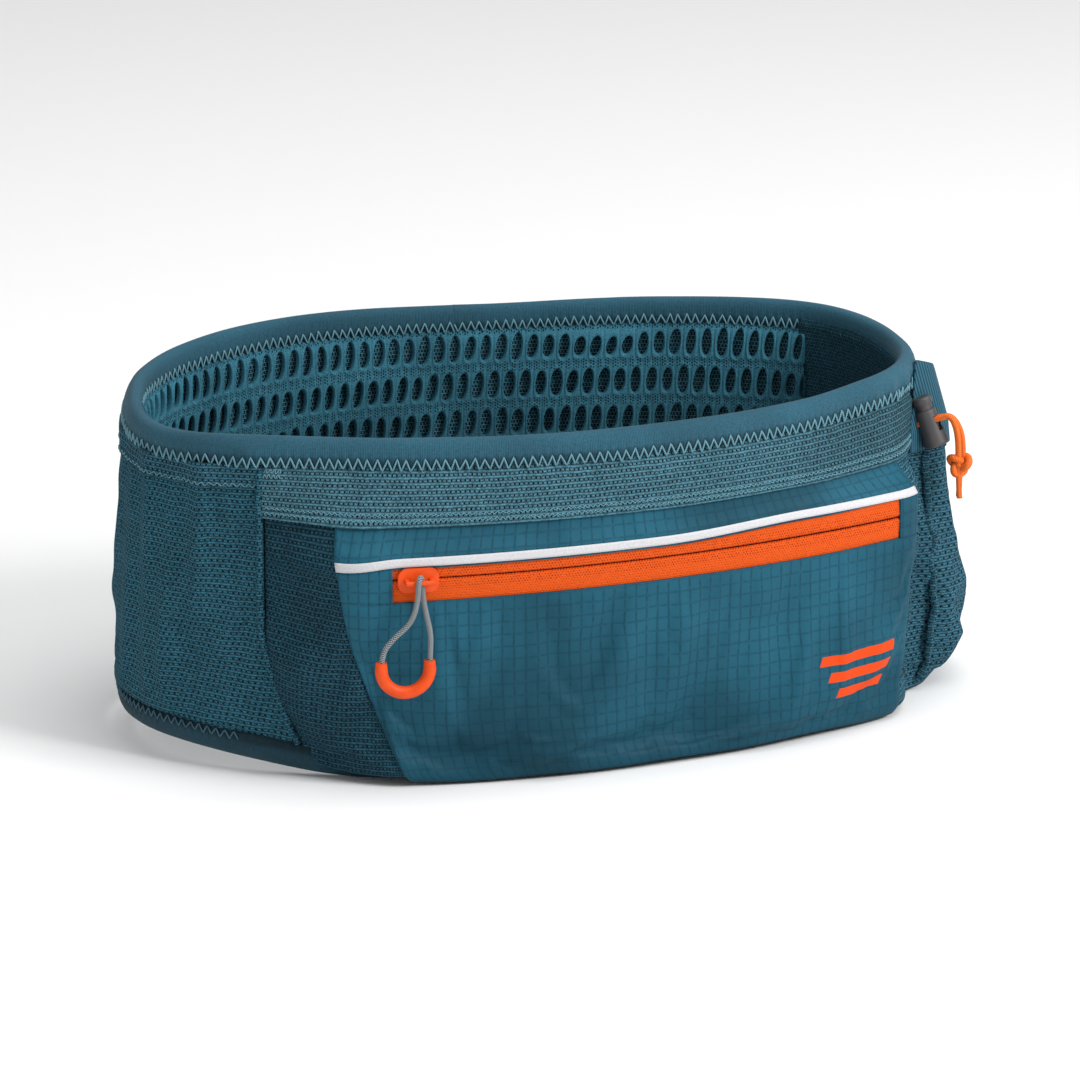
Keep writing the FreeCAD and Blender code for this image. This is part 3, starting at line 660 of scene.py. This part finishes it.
def front_skin(t, height, lift=0.0):
    """The front's outer layer, over the whole span between the two side seams."""
    t, height = np.broadcast_arrays(np.asarray(t, float), np.asarray(height, float))
    start = seam_left(height)
    along = start + (t - SKIN_LEFT) / (SKIN_RIGHT - SKIN_LEFT) * (SEAM_RIGHT - start)
    share = stand_off(height)[..., None]
    plan = hoop(along, SKIN_OUT) * (1 - share) + round_plan(t, height) * share
    ahead = round_plan(t + 1.0, height) - round_plan(t - 1.0, height)
    normal = unit(np.stack([ahead[..., 1], -ahead[..., 0]], -1))
    calm = smoothstep((ZIP_LOW - 2 - height) / 22) * smoothstep(height / 18)
    folds = 8.0 * wave(t * 0.8 - height * 0.35, height * 0.9, 3, 66)
    folds = folds + 1.8 * wave(t * 1.4, height, 8, 28) - 1.4
    pucker = 0.8 * wave(t, 0 * t, 77, 9) * smoothstep((height - YOKE_LOW - 8) / 10)
    plan = plan + normal * (lift + folds * calm + pucker)[..., None]
    wavy_foot = 0.9 * wave(t, 0 * t, 15, 48) * smoothstep((30 - height) / 30)
    return standing(plan, height + wavy_foot)


# ---- bindings ----
def rim_swell(along, deep, seed):
    """Unevenness of a binding's outer face, gathered where the two front seams end under it."""
    soft = 0.5 * wave(along, deep * 2, seed, 46)
    gathers = 1.9 * wave(along, deep * 0.8, seed + 1, 11) * np.exp(-((along - 146) / 20) ** 2)
    bump = 1.5 * np.exp(-((along - SEAM_LEFT + 1) / 6) ** 2)
    return soft + (gathers + bump) * smoothstep((deep - 1) / 5)


def binding(name, level, seed, material, replaced, slim=0.0):
    """A folded binding round the whole hoop, thinner by slim where the front pocket lies over it."""
    along = np.linspace(-HOOP_HALF, HOOP_HALF, 1100, endpoint=False)
    section = np.array(BINDING_SECTION)
    a, k = np.meshgrid(along, np.arange(len(section)), indexing="ij")
    out, deep = section[k, 0], section[k, 1]
    edge = smoothstep((deep - 4) / 5)
    pucker = 0.34 * np.sin(a * math.tau / STITCH) * edge
    swell = rim_swell(a, deep, seed)
    covered = smoothstep((a - SEAM_LEFT - 22) / 10) * smoothstep((SEAM_RIGHT - 16 - a) / 10)
    out = out * (1 - slim * covered * (out > 0))
    swell = swell * (1 - slim * covered)
    out = out + np.sign(out) * pucker + swell * (out > 0) + 0.35 * wave(a, deep, seed + 5, 30) * (out < 0)
    height = level(deep + 0.35 * wave(a, a * 0, seed + 9, 70) * (1 - edge))
    faces = grid_faces(len(along), len(section), closed_rows=True, closed_columns=True)
    uv = np.stack([a, BINDING_RUN[k]], -1)
    add_mesh(name, settle(standing(hoop(a, out), height)), faces, uv, material, "binding_knit",
             replaced=[replaced])


binding("top_edge_binding", lambda deep: HEIGHT - deep, 11, "binding_knit", "top_binding")
binding("bottom_edge_binding", lambda deep: np.maximum(deep, 0), 23, "low_binding", "bottom_binding", 0.75)


# ---- stitching ----
def zigzag(name, surface, start, end, period, middle, half, lift=0.25, radius=0.25, material="thread", seed=1,
           inward=False):
    """Zigzag stitches over a surface(along, height, lift); each leg arches out of the cloth."""
    rng = np.random.default_rng(seed)
    count = int(abs(end - start) / period * 2)
    corners = np.linspace(start, end, count + 1) + rng.uniform(-0.09, 0.09, count + 1) * period
    tall = half * (1 + rng.uniform(-0.16, 0.16, count + 1)) * np.where(np.arange(count + 1) % 2, 1, -1)
    share = np.array([0.0, 0.14, 0.5, 0.86])
    arch = np.array([-0.25, 0.8, 1.0, 0.8])
    along = (corners[:-1, None] * (1 - share) + corners[1:, None] * share).ravel()
    height = middle + (tall[:-1, None] * (1 - share) + tall[1:, None] * share).ravel()
    raised = lift * np.tile(arch, count)
    points = settle(surface(along, height, -raised if inward else raised))
    outward = surface(along, height, 1.0) - surface(along, height, 0.0)
    tube(name, points, radius, 5, material, "binding_knit", outward=outward)


def on_binding(seed, deep_at):
    """The outer face of a binding, for stitches; deep_at turns a height into depth from its fold."""
    return hoop_surface(lambda along, height: 3.4 + rim_swell(along, deep_at(height), seed))


outside_rim = on_binding(11, lambda height: HEIGHT - height)
outside_base = on_binding(23, lambda height: height)
inside_binding = hoop_surface(constant(-3.5))
zigzag("rim_stitch_outside", outside_rim, -HOOP_HALF, HOOP_HALF, STITCH, HEIGHT - 9.6, 2.1, radius=0.36,
       seed=2)
zigzag("rim_stitch_inside", inside_binding, -HOOP_HALF, HOOP_HALF, STITCH, HEIGHT - 8.3, 1.9, radius=0.34,
       seed=3, inward=True)
zigzag("base_stitch_outside", outside_base, SEAM_RIGHT, 2 * HOOP_HALF - 123, STITCH, 8.8, 1.6,
       material="thread_dark", radius=0.3, seed=4)
zigzag("base_stitch_inside", inside_binding, -HOOP_HALF, HOOP_HALF, STITCH, 8.6, 1.7, material="thread_dark",
       seed=5, inward=True)


# ---- inside of the hoop ----
WALL_LOW, WALL_HIGH = 5.0, HEIGHT - 6.0


def inner_offset(along, height):
    return -2.9 + 0.5 * wave(along, height, 41, 40) * np.sin(np.clip(height / HEIGHT, 0, 1) * math.pi)


def inner_sheet(name, start, end, replaced):
    along = np.linspace(start, end, int((end - start) / 2.5))
    sheet(name, hoop_surface(inner_offset), along, np.linspace(WALL_LOW, WALL_HIGH, 40), "inner_knit",
          "inner_knit", 1.2, [replaced])


inner_sheet("inner_side_panel_right", SEAM_RIGHT, AIR_START + 3, "inner_mesh_right")
inner_sheet("inner_side_panel_left", AIR_END - 2 * HOOP_HALF - 3, SEAM_LEFT, "inner_mesh_left")
inner_sheet("inner_front_panel", SEAM_LEFT, SEAM_RIGHT, "inner_mesh_front")


def cell_edge(across, up):
    """Points round a cell's edge, spaced so that staggered rows share them."""
    x = np.linspace(-0.5, 0.5, across + 1)[:-1]
    y = np.linspace(-0.5, 0.5, up + 1)[:-1]
    low = np.stack([x, np.full(across, -0.5)], -1)
    right = np.stack([np.full(up, 0.5), y], -1)
    return np.concatenate([low, right, -low, -right])


def air_mesh():
    """Lumbar spacer mesh: a puffy face with staggered oval holes, over a plain fine back."""
    edge_points = cell_edge(8, 6)
    corners = len(edge_points)
    turn = np.arctan2(edge_points[:, 1], edge_points[:, 0])
    oval = np.stack([np.cos(turn), np.sin(turn)], -1)
    cell = edge_points * [AIR_PITCH, AIR_ROW]
    rng = np.random.default_rng(7)
    points, faces = [], []
    for row in range(int((AIR_TOP - WALL_LOW) / AIR_ROW) + 1):
        for column in range(-1, int((AIR_END - AIR_START) / AIR_PITCH) + 1):
            shift = 0.5 * (row % 2)
            centre = np.array([AIR_START + (column + 0.5 + shift) * AIR_PITCH,
                               AIR_TOP - (row + 0.5) * AIR_ROW])
            hole = oval * AIR_HOLE / 2 * (1 + rng.uniform(-0.10, 0.10, 2))
            hole[:, 0] -= hole[:, 1] * rng.uniform(0.08, 0.2)
            squash = 0.26 * math.exp(-((centre[0] - CRUSHED) / 21) ** 2) * (row == 0)
            hole[:, 1] = hole[:, 1] * (1 - squash) - 4.5 * squash
            loops = [(hole * 0.97, -0.7), (hole, 0.4), (hole * 1.13, 1.4), (hole * 0.6 + cell * 0.5, 1.15),
                     (cell, 0.7)]
            start = len(points) * corners
            points += [standing(loop + centre, np.full(corners, puff)) for loop, puff in loops]
            faces.append(start + grid_faces(len(loops), corners, closed_columns=True))
    flat = np.concatenate(points)
    along = np.clip(flat[:, 0], AIR_START, AIR_END)
    height = np.maximum(flat[:, 1], WALL_LOW)
    swell = 0.8 * wave(along, height, 19, 55) + 0.5
    surface = hoop_surface(lambda a, z: -2.6 - 1.2 * smoothstep((AIR_TOP - z) / 9))
    tucked = smoothstep((AIR_TOP + 1.5 - height) / 5)
    placed = settle(surface(along, height, -(flat[:, 2] + swell) * tucked))
    piece = add_mesh("lumbar_air_mesh_face", placed, np.concatenate(faces), flat[:, :2], "air_mesh",
                     "air_mesh", replaced=["lumbar_air_mesh"])
    weld = piece.modifiers.new("weld", "WELD")
    weld.merge_threshold = 0.05 * MM
    smooth = piece.modifiers.new("smooth", "SUBSURF")
    smooth.levels = smooth.render_levels = 1
    sheet("lumbar_air_mesh_back", hoop_surface(constant(-1.7)), np.linspace(AIR_START, AIR_END, 140),
          np.linspace(WALL_LOW, WALL_HIGH, 40), "spacer_back", "air_mesh", 0.8)


air_mesh()


# ---- front pocket ----
RIPSTOP_ENDS = ((-113.0, -130.5), (112.0, 116.0))   # left and right edges: at the base, at the top
POCKET_LOW, POCKET_HIGH = 1.8, YOKE_LOW + 3


def ripstop_end(side, height):
    base, top = RIPSTOP_ENDS[side]
    return base + (top - base) * np.asarray(height, float) / YOKE_LOW


def seam_rise(t, height):
    """The strip's seam climbs away from the zip towards the right, and dips at its left end."""
    rise = 2.5 * smoothstep(t / 60) - 1.9 * smoothstep((-t - 100) / 26)
    over = np.clip((height - ZIP_Z) / (ZIP_HIGH - ZIP_Z), 0, 1)
    under = np.clip((POCKET_HIGH - height) / (POCKET_HIGH - ZIP_HIGH), 0, 1)
    return height + rise * over * under


def skin_strip(name, left, right, heights, material, slot, lift, columns=160, thick=0.9, settled=True,
               replaced=()):
    """A panel of the front between two edges that are functions of height; lift is one too."""
    share = np.linspace(0, 1, columns)
    z = np.repeat(heights[:, None], columns, 1)
    t = left(heights)[:, None] * (1 - share) + right(heights)[:, None] * share
    points = front_skin(t, seam_rise(t, z), lift(z))
    return cloth(name, settle(points) if settled else points, (t, z), material, slot, thick, replaced)


def edge(side, over=0.0):
    """The ripstop's left or right edge against height, moved over to the right."""
    return lambda height: ripstop_end(side, height) + over


def sewn(bottom, top, step):
    """Heights with closer rows beside the two edges."""
    near = 0.8
    inner = np.linspace(bottom + 2 * near, top - 2 * near, int((top - bottom) / step))
    return np.concatenate([[bottom, bottom + near], inner, [top - near, top]])


on_top = constant(0.75)
upper = skin_strip("ripstop_above_zip", edge(0), edge(1), sewn(ZIP_HIGH - 0.3, POCKET_HIGH, 1.6), "ripstop",
                   "ripstop", on_top, replaced=["ripstop_upper_panel", "pocket_top_gusset"])
lower = skin_strip("ripstop_below_zip", edge(0), edge(1), sewn(POCKET_LOW, ZIP_LOW + 0.3, 1.4),
                   "ripstop_printed", "ripstop", on_top,
                   replaced=["ripstop_lower_panel", "pocket_bottom_gusset"])
beside_zip = ((edge(0), constant(0.4 - ZIP_HALF)), (constant(ZIP_HALF - 0.4), edge(1)))
for side, ends in enumerate(beside_zip):
    skin_strip(f"ripstop_beside_zip_{side}", *ends, np.linspace(ZIP_LOW, ZIP_HIGH, 12), "ripstop", "ripstop",
               on_top, columns=16)

flush = constant(0.0)
left_mesh = skin_strip("mesh_wing_left", constant(SKIN_LEFT + 0.5), edge(0, 2), sewn(4, POCKET_HIGH, 1.8),
                       "wing_mesh", "outer_mesh", flush, columns=40, replaced=["front_mesh_left"])
right_mesh = skin_strip("mesh_wing_right", edge(1, -2), constant(SKIN_RIGHT - 0.5), sewn(4, POCKET_HIGH, 1.8),
                        "right_mesh", "outer_mesh", flush, columns=30, replaced=["front_mesh_right"])


def yoke_lift(height):
    """The yoke lies over the ripstop at its hem and tucks under the binding at its top."""
    return 1.9 - 2.5 * smoothstep((height - HEIGHT + 15.5) / 7)


skin_strip("yoke_mesh_band", constant(SKIN_LEFT), constant(SKIN_RIGHT),
           sewn(YOKE_LOW - 0.5, HEIGHT - 8.8, 1.2), "outer_mesh", "outer_mesh", yoke_lift, columns=240,
           thick=1.2, replaced=["front_yoke_mesh"])
sheet("pocket_back_lining", hoop_surface(constant(1.0)), np.linspace(SEAM_LEFT, SEAM_RIGHT, 120),
      np.linspace(2.5, YOKE_LOW, 30), "inner_knit", "inner_knit", 0.7, ["front_pocket_lining"])


def yoke_skin(t, height, lift=0.0):
    return front_skin(t, height, lift + yoke_lift(height))


for row, low in enumerate((1.4, 3.4)):
    zigzag(f"yoke_hem_stitch_{row}", yoke_skin, SKIN_LEFT + 2, SKIN_RIGHT - 2, 2.2, YOKE_LOW + low, 0.4,
           0.18, 0.2, seed=30 + row)
for row, low in enumerate((14.8, 12.9)):
    zigzag(f"yoke_corner_bartack_{row}", yoke_skin, SKIN_LEFT + 1.5, SKIN_LEFT + 9, 1.7, HEIGHT - low, 0.9,
           0.25, 0.2, seed=40 + row)


# ---- zip ----
ZIP_GAP = 0.18


def zip_tape(name, line, hem, replaced):
    """Half of the tape, from the zip's line to its sewn edge, where it turns in behind the ripstop."""
    heights = np.linspace(min(line, hem), max(line, hem), 9)
    a, z = np.meshgrid(np.linspace(-ZIP_HALF, ZIP_HALF, 150), heights)
    near = (z - hem) / (line - hem)
    z = seam_rise(a, z)
    plan = face_plan(a)
    lift = -0.25 + 0.45 * smoothstep(near) - 0.5 * smoothstep((near - 0.93) / 0.07)
    points = standing(plan + unit(plan - POCKET_CENTRE) * lift[..., None], z)
    cloth(name, points, (a, z - ZIP_Z), "zip_tape", "zip_tape", 0.5, [replaced])


zip_tape("zip_tape_face_upper", ZIP_Z + ZIP_GAP, ZIP_HIGH + 0.6, "zip_tape_upper")
zip_tape("zip_tape_face_lower", ZIP_Z - ZIP_GAP, ZIP_LOW - 1.2, "zip_tape_lower")
skin_strip("reflective_strip_tape", edge(0, 0.3), edge(1, -0.3),
           np.linspace(ZIP_HIGH - 0.2, ZIP_HIGH + STRIP_TALL, 5), "reflective", "reflective", constant(1.15),
           thick=0.4, settled=False, replaced=["reflective_strip"])


# ---- side and rear pockets ----
def pocket_surface(start, end, bulge, shape, folds, seed, ends=24.0):
    """An open pocket: closed at its two seams; shape gives its fullness against height."""
    heights, shares = np.array(shape).T

    def offset(along, height):
        fullness = smoothstep((along - start) / ends) * smoothstep((end - along) / ends)
        crease = wave(along * 2.2, height * 0.5, seed, 34) + 0.5 * wave(along, height, seed + 1, 17)
        loose = fullness * smoothstep((height - 8) / 30)
        tucked = 0.9 * smoothstep((13 - height) / 4)
        return 2.7 - tucked + bulge * fullness * np.interp(height, heights, shares) + folds * crease * loose
    return hoop_surface(offset)


def open_pocket(name, surface, start, end, foot, top, mesh, stitched_from=2.0):
    """A pocket's mesh, the hem band over its top, and the hem's stitches."""
    along = np.linspace(start, end, int((end - start) / 1.6))
    piece = sheet(f"{name}_pocket_mesh", surface, along, sewn(foot, top - 1, 1.8), mesh, "outer_mesh", 0.9,
                  [f"{name}_pocket_panel"])
    sheet(f"{name}_pocket_hem_band", lifted(surface, 0.95), along, sewn(top - 9.5, top + 0.2, 1.5),
          "right_mesh", "binding_knit", 1.7, [f"{name}_pocket_hem"])
    zigzag(f"{name}_pocket_hem_stitch", lifted(surface, 1.0), start + stitched_from, end - 2, 2.7,
           top - 8.2, 0.7, 0.2, 0.18, seed=len(name) + 50)
    return piece


def leaning(surface):
    """The left pocket's surface, with its front seam leaning in near its foot."""
    def shifted(along, height, lift=0.0):
        share = np.clip((along - SEAM_LEFT + 70) / 70, 0, 1)
        plan = surface(along, height)[..., :2]
        out = np.linalg.norm(plan - hoop(along), axis=-1) + lift
        return standing(hoop(along + (seam_left(height) - SEAM_LEFT) * share, out), height)
    return shifted


# Fullness of each pocket against height.
LEFT_SHAPE = [(0, 0.0), (9, 0.1), (30, 0.9), (60, 1.0), (95, 0.6), (121, 0.0)]
REAR_SHAPE = [(0, 0.0), (9, 0.2), (35, 0.95), (60, 1.0), (90, 0.8), (112, 0.45)]
RIGHT_SHAPE = [(0, 0.30), (8, 0.62), (20, 0.95), (42, 1.0), (60, 0.88), (86, 0.62), (112, 0.5)]
RIGHT_START = SEAM_RIGHT - 4
left_surface = leaning(pocket_surface(-SEAM_REAR, SEAM_LEFT, 3.4, LEFT_SHAPE, 2.2, 61))
rear_surface = pocket_surface(SEAM_REAR, 2 * HOOP_HALF - SEAM_REAR, 12.0, REAR_SHAPE, 1.0, 71)
right_surface = pocket_surface(RIGHT_START, SEAM_REAR, 21.0, RIGHT_SHAPE, 1.6, 81, 20.0)
right_smooth = pocket_surface(RIGHT_START, SEAM_REAR, 21.0, RIGHT_SHAPE, 0.0, 81, 20.0)
left_pocket = open_pocket("left", left_surface, -SEAM_REAR, SEAM_LEFT, 6.5, 121.2, "left_mesh")
rear_pocket = open_pocket("rear", rear_surface, SEAM_REAR, 2 * HOOP_HALF - SEAM_REAR, 6.5, 112.0, "left_mesh")
right_pocket = open_pocket("right", right_surface, RIGHT_START, SEAM_REAR, 1.0, 105.0, "right_mesh", 55.0)


def seam_piping(name, surface, along, low, high, radius, sway, material):
    """The rolled edge of a sewn seam, up the side of the belt."""
    heights = np.linspace(low, high, 80)
    level = 0 * heights
    path = settle(surface(along + sway * wave(heights, level, 17, 14), heights, level + 0.8))
    tube(name, path, radius * (1 + 0.25 * wave(heights, level, 29, 9)), 10, material, "outer_mesh")


seam_piping("left_seam_piping", left_surface, SEAM_LEFT - 1.2, 11.0, 118.0, 1.3, 0.6, "left_mesh")
seam_piping("right_seam_piping", right_surface, RIGHT_START + 9.0, 5.0, 98.0, 1.7, 1.8, "right_mesh")


HEM_LOW, HEM_HIGH = 97, 105


def hem_tab():
    """The ribbed corner of the right pocket's hem, folded and standing up beside the binding."""
    a, up = np.meshgrid(np.linspace(RIGHT_START + 1, 204, 60), np.linspace(0, 1, 16))
    peak = np.interp(a, [RIGHT_START, 156, 162, 171, 190, 206], [104, 113, 131, 127, 113, 103])
    z = HEM_LOW + (peak - HEM_LOW) * up
    held = right_smooth(a, np.minimum(z, HEM_HIGH), 2.3)
    leans_in = 0.28 * np.clip(z - HEM_HIGH, 0, None)
    out = np.linalg.norm(held[..., :2] - hoop(a), axis=-1) - leans_in
    cloth("hem_tab_webbing", settle(standing(hoop(a, out), z)), (a, z), "ribbed_webbing", "ribbed_webbing",
          1.3, ["hem_tab"])


hem_tab()


# ---- cloth ----
DRAPE_FRAMES = 16


def drape(pieces):
    """Let each sewn panel, cut a little larger than its frame, buckle between its seams.

    slack is how much larger it is cut, and limit is about how far a point may move, in metres."""
    for piece, rows, columns, slack, _ in pieces:
        index = np.arange(rows * columns).reshape(rows, columns)
        held = np.concatenate([index[:5].ravel(), index[-3:].ravel(), index[:, :2].ravel(),
                               index[:, -2:].ravel()])
        seam = piece.vertex_groups.new(name="seam")
        seam.add(np.unique(held).tolist(), 1.0, "REPLACE")
        for modifier in piece.modifiers:
            modifier.show_viewport = False
        simulation = piece.modifiers.new("cloth", "CLOTH")
        simulation.point_cache.frame_end = DRAPE_FRAMES
        settings = simulation.settings
        settings.vertex_group_mass = "seam"
        settings.quality = 5
        settings.mass = 0.08
        settings.tension_stiffness = settings.compression_stiffness = 12
        settings.shear_stiffness = 4
        settings.bending_stiffness = 0.35
        settings.air_damping = 2
        settings.shrink_min = -slack
        settings.effector_weights.gravity = 0.4
    scene = bpy.context.scene
    for frame_number in range(1, DRAPE_FRAMES + 1):
        scene.frame_set(frame_number)
    depsgraph = bpy.context.evaluated_depsgraph_get()
    for piece, rows, columns, _, limit in pieces:
        count = rows * columns
        start, end = np.zeros(count * 3), np.zeros(count * 3)
        piece.data.vertices.foreach_get("co", start)
        piece.evaluated_get(depsgraph).data.vertices.foreach_get("co", end)
        move = (end - start).reshape(-1, 3)
        far = np.linalg.norm(move, axis=1, keepdims=True)
        move *= np.tanh(far / limit) * limit / np.maximum(far, 1e-9)
        piece.data.vertices.foreach_set("co", start + move.ravel())
        piece.modifiers.remove(piece.modifiers["cloth"])
        piece.vertex_groups.clear()
        piece.data.update()
        for modifier in piece.modifiers:
            modifier.show_viewport = True
    scene.frame_set(1)


drape([(piece, *GRIDS[piece.name], slack, limit) for piece, slack, limit in (
    (lower, 0.02, 0.004), (upper, 0.005, 0.001), (left_pocket, 0.016, 0.0022), (rear_pocket, 0.02, 0.003),
    (right_pocket, 0.03, 0.004), (left_mesh, 0.014, 0.002), (right_mesh, 0.02, 0.002))])


# ---- cords ----
def spline_path(name, route):
    """Points along the smooth line of a given route, from a NURBS curve with no bevel."""
    curve = bpy.data.curves.new(name, "CURVE")
    curve.dimensions = "3D"
    curve.resolution_u = 16
    spline = curve.splines.new("NURBS")
    spline.points.add(len(route) - 1)
    for point, place in zip(spline.points, route):
        point.co = (*(np.asarray(place) * MM), 1.0)
    spline.order_u = 3
    spline.use_endpoint_u = True
    holder = put(name, curve)
    mesh = bpy.data.meshes.new_from_object(holder)
    points = np.array([vertex.co for vertex in mesh.vertices]) / MM
    bpy.data.objects.remove(holder)
    bpy.data.meshes.remove(mesh)
    return points


def cord_piece(name, route, radius, material, body, replaced):
    path = spline_path(name, route)
    piece = tube(name, path, radius, 14, material, material, body, replaced=[replaced])


# Beside the bail bar: along the bar, into the pack, and up.
PULL_ROUTE = [(-14.6, 0.0, -31.5), (-14.3, 0.0, -25.5), (-9.8, -0.4, -20.0), (-3.6, -1.2, -14.5),
              (-1.3, -1.95, -6.5), (-0.9, -1.95, 2.1), (0.9, 1.95, 2.1), (1.3, 1.95, -6.5),
              (2.6, 1.3, -13.5), (3.9, 0.5, -20.0), (3.6, 0.0, -26.0), (3.3, 0.0, -31.5)]


def beside_bail(place):
    return BAIL + BAR * place[0] + PACK_IN * place[1] + np.array([0, 0, place[2]])


cord_piece("pull_cord_loop", [beside_bail(place) for place in PULL_ROUTE], 1.0, "grey_cord", "zip_pull",
           "pull_cord")

# Beside the cord lock: along the bungee, across the two strands, and up the barrel.
OUTER_ROUTE = [(-7.0, 1.35, 0.0), (6.8, 1.35, 0.1), (9.6, 1.35, -2.4), (10.4, 1.3, -8.2), (8.8, 1.2, -14.6),
               (6.7, 1.1, -20.6)]
INNER_ROUTE = [(-7.0, -1.35, 0.0), (6.6, -1.35, 0.0), (8.6, -1.35, 0.0), (9.8, -1.35, -3.2),
               (9.3, -1.35, -8.4), (7.6, -1.35, -14.4), (5.4, -1.3, -20.2)]


def beside_lock(place):
    return LOCK + LOCK_X * place[0] + LOCK_Y * place[1] + LOCK_Z * place[2]


def knot():
    """An overhand knot of the two strands, with its two cut tails."""
    centre = beside_lock((5.9, 0.0, -19.5))
    turn = np.linspace(0, math.tau, 90)[:, None]
    across = np.sin(turn) + 2 * np.sin(2 * turn)
    tall = np.cos(turn) - 2 * np.cos(2 * turn)
    deep = -np.sin(3 * turn)
    up = np.array([0, 0, 1.0])
    level = LOCK_X * [1, 1, 0] / np.linalg.norm(LOCK_X[:2])
    path = centre + 1.4 * across * level + 1.35 * tall * up + 1.9 * deep * LOCK_Y
    tube("bungee_overhand_knot", path, 1.4, 12, "orange_bungee", "orange_bungee", replaced=["bungee_knot"])
    drop = np.linspace(0, 1, 14)[:, None]
    for name, side, spread in (("bungee_tail_inner", -1, 0.5), ("bungee_tail_outer", 1, -0.3)):
        start = centre + LOCK_Y * 1.25 * side
        tail = start - up * 13.0 * drop + LOCK_X * [1, 1, 0] * spread * drop ** 2
        tube(name, tail, 1.1, 12, "orange_bungee", "orange_bungee")


knot()
for name, route, replaced in (("bungee_outer", OUTER_ROUTE, "bungee_strand_outer"),
                              ("bungee_inner", INNER_ROUTE, "bungee_strand_inner")):
    cord_piece(name, [beside_lock(place) for place in route], 1.2, "orange_bungee", "belt", replaced)

# The coil spring in the lock's bore, beside the cord lock.
SPRING_FOOT, SPRING_TOP = -8.3, -5.9
SPRING_RADIUS, SPRING_WIRE, SPRING_TURNS = 2.1, 0.18, 3.5


def lock_spring():
    """Its foot sits at the barrel, and its top at the resting plunger."""
    turn = np.linspace(0, SPRING_TURNS * math.tau, 100)
    rise = np.linspace(SPRING_FOOT + 0.25, SPRING_TOP - 0.35, 100)
    path = [beside_lock((SPRING_RADIUS * math.cos(t), SPRING_RADIUS * math.sin(t), z))
            for t, z in zip(turn, rise)]
    piece = tube("lock_coil_spring", path, SPRING_WIRE, 8, "spring_steel", "spring_steel", body=None,
                 replaced=["cord_lock_spring"])
    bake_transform(piece)


lock_spring()


# ---- carried-over CAD pieces ----
KEPT = {"zip_coil_upper": "zip_coil", "zip_coil_lower": "zip_coil", "zip_stop_left": "zip_coil",
        "zip_stop_right": "zip_coil", "slider_body": "slider_paint", "slider_bail": "slider_paint",
        "pull_grip": "orange_grip", "bungee_anchor": "ribbed_webbing",
        "cord_lock_body": "lock_plastic", "cord_lock_plunger": "lock_plastic"}
for node, material in KEPT.items():
    mesh = frame["nodes"][node].data
    mesh.materials.clear()
    mesh.materials.append(MATERIALS[material])


# ---- stage and light ----
def stage():
    """A plain pale floor."""
    floor = bpy.data.meshes.new("floor")
    half = 6.0
    floor.from_pydata([(-half, -half, 0), (half, -half, 0), (half, half, 0), (-half, half, 0)], [],
                      [(0, 1, 2, 3)])
    Graph("floor", 0.9).finish((0.92, 0.92, 0.92))
    floor.materials.append(MATERIALS["floor"])
    put("floor", floor)


def area_light(name, place, size, power):
    """A square light, aimed at the middle of the pack."""
    light = put(name, bpy.data.lights.new(name, "AREA"))
    light.data.size = size
    light.data.energy = power
    light.location = place
    light.rotation_euler = (Vector(place) - Vector((0, 0, 0.06))).to_track_quat("Z", "Y").to_euler()


stage()
area_light("top", (0.2, -0.1, 2.0), 2.2, 30)
area_light("key", (1.4, -1.5, 1.4), 0.9, 47)
area_light("fill", (-1.5, -1.2, 0.8), 1.2, 3)
world = bpy.data.worlds.new("studio")
world.use_nodes = True
background = world.node_tree.nodes["Background"]
background.inputs["Color"].default_value = (1, 1, 1, 1)
background.inputs["Strength"].default_value = 0.36
bpy.context.scene.world = world
bpy.context.scene.view_settings.view_transform = "Standard"
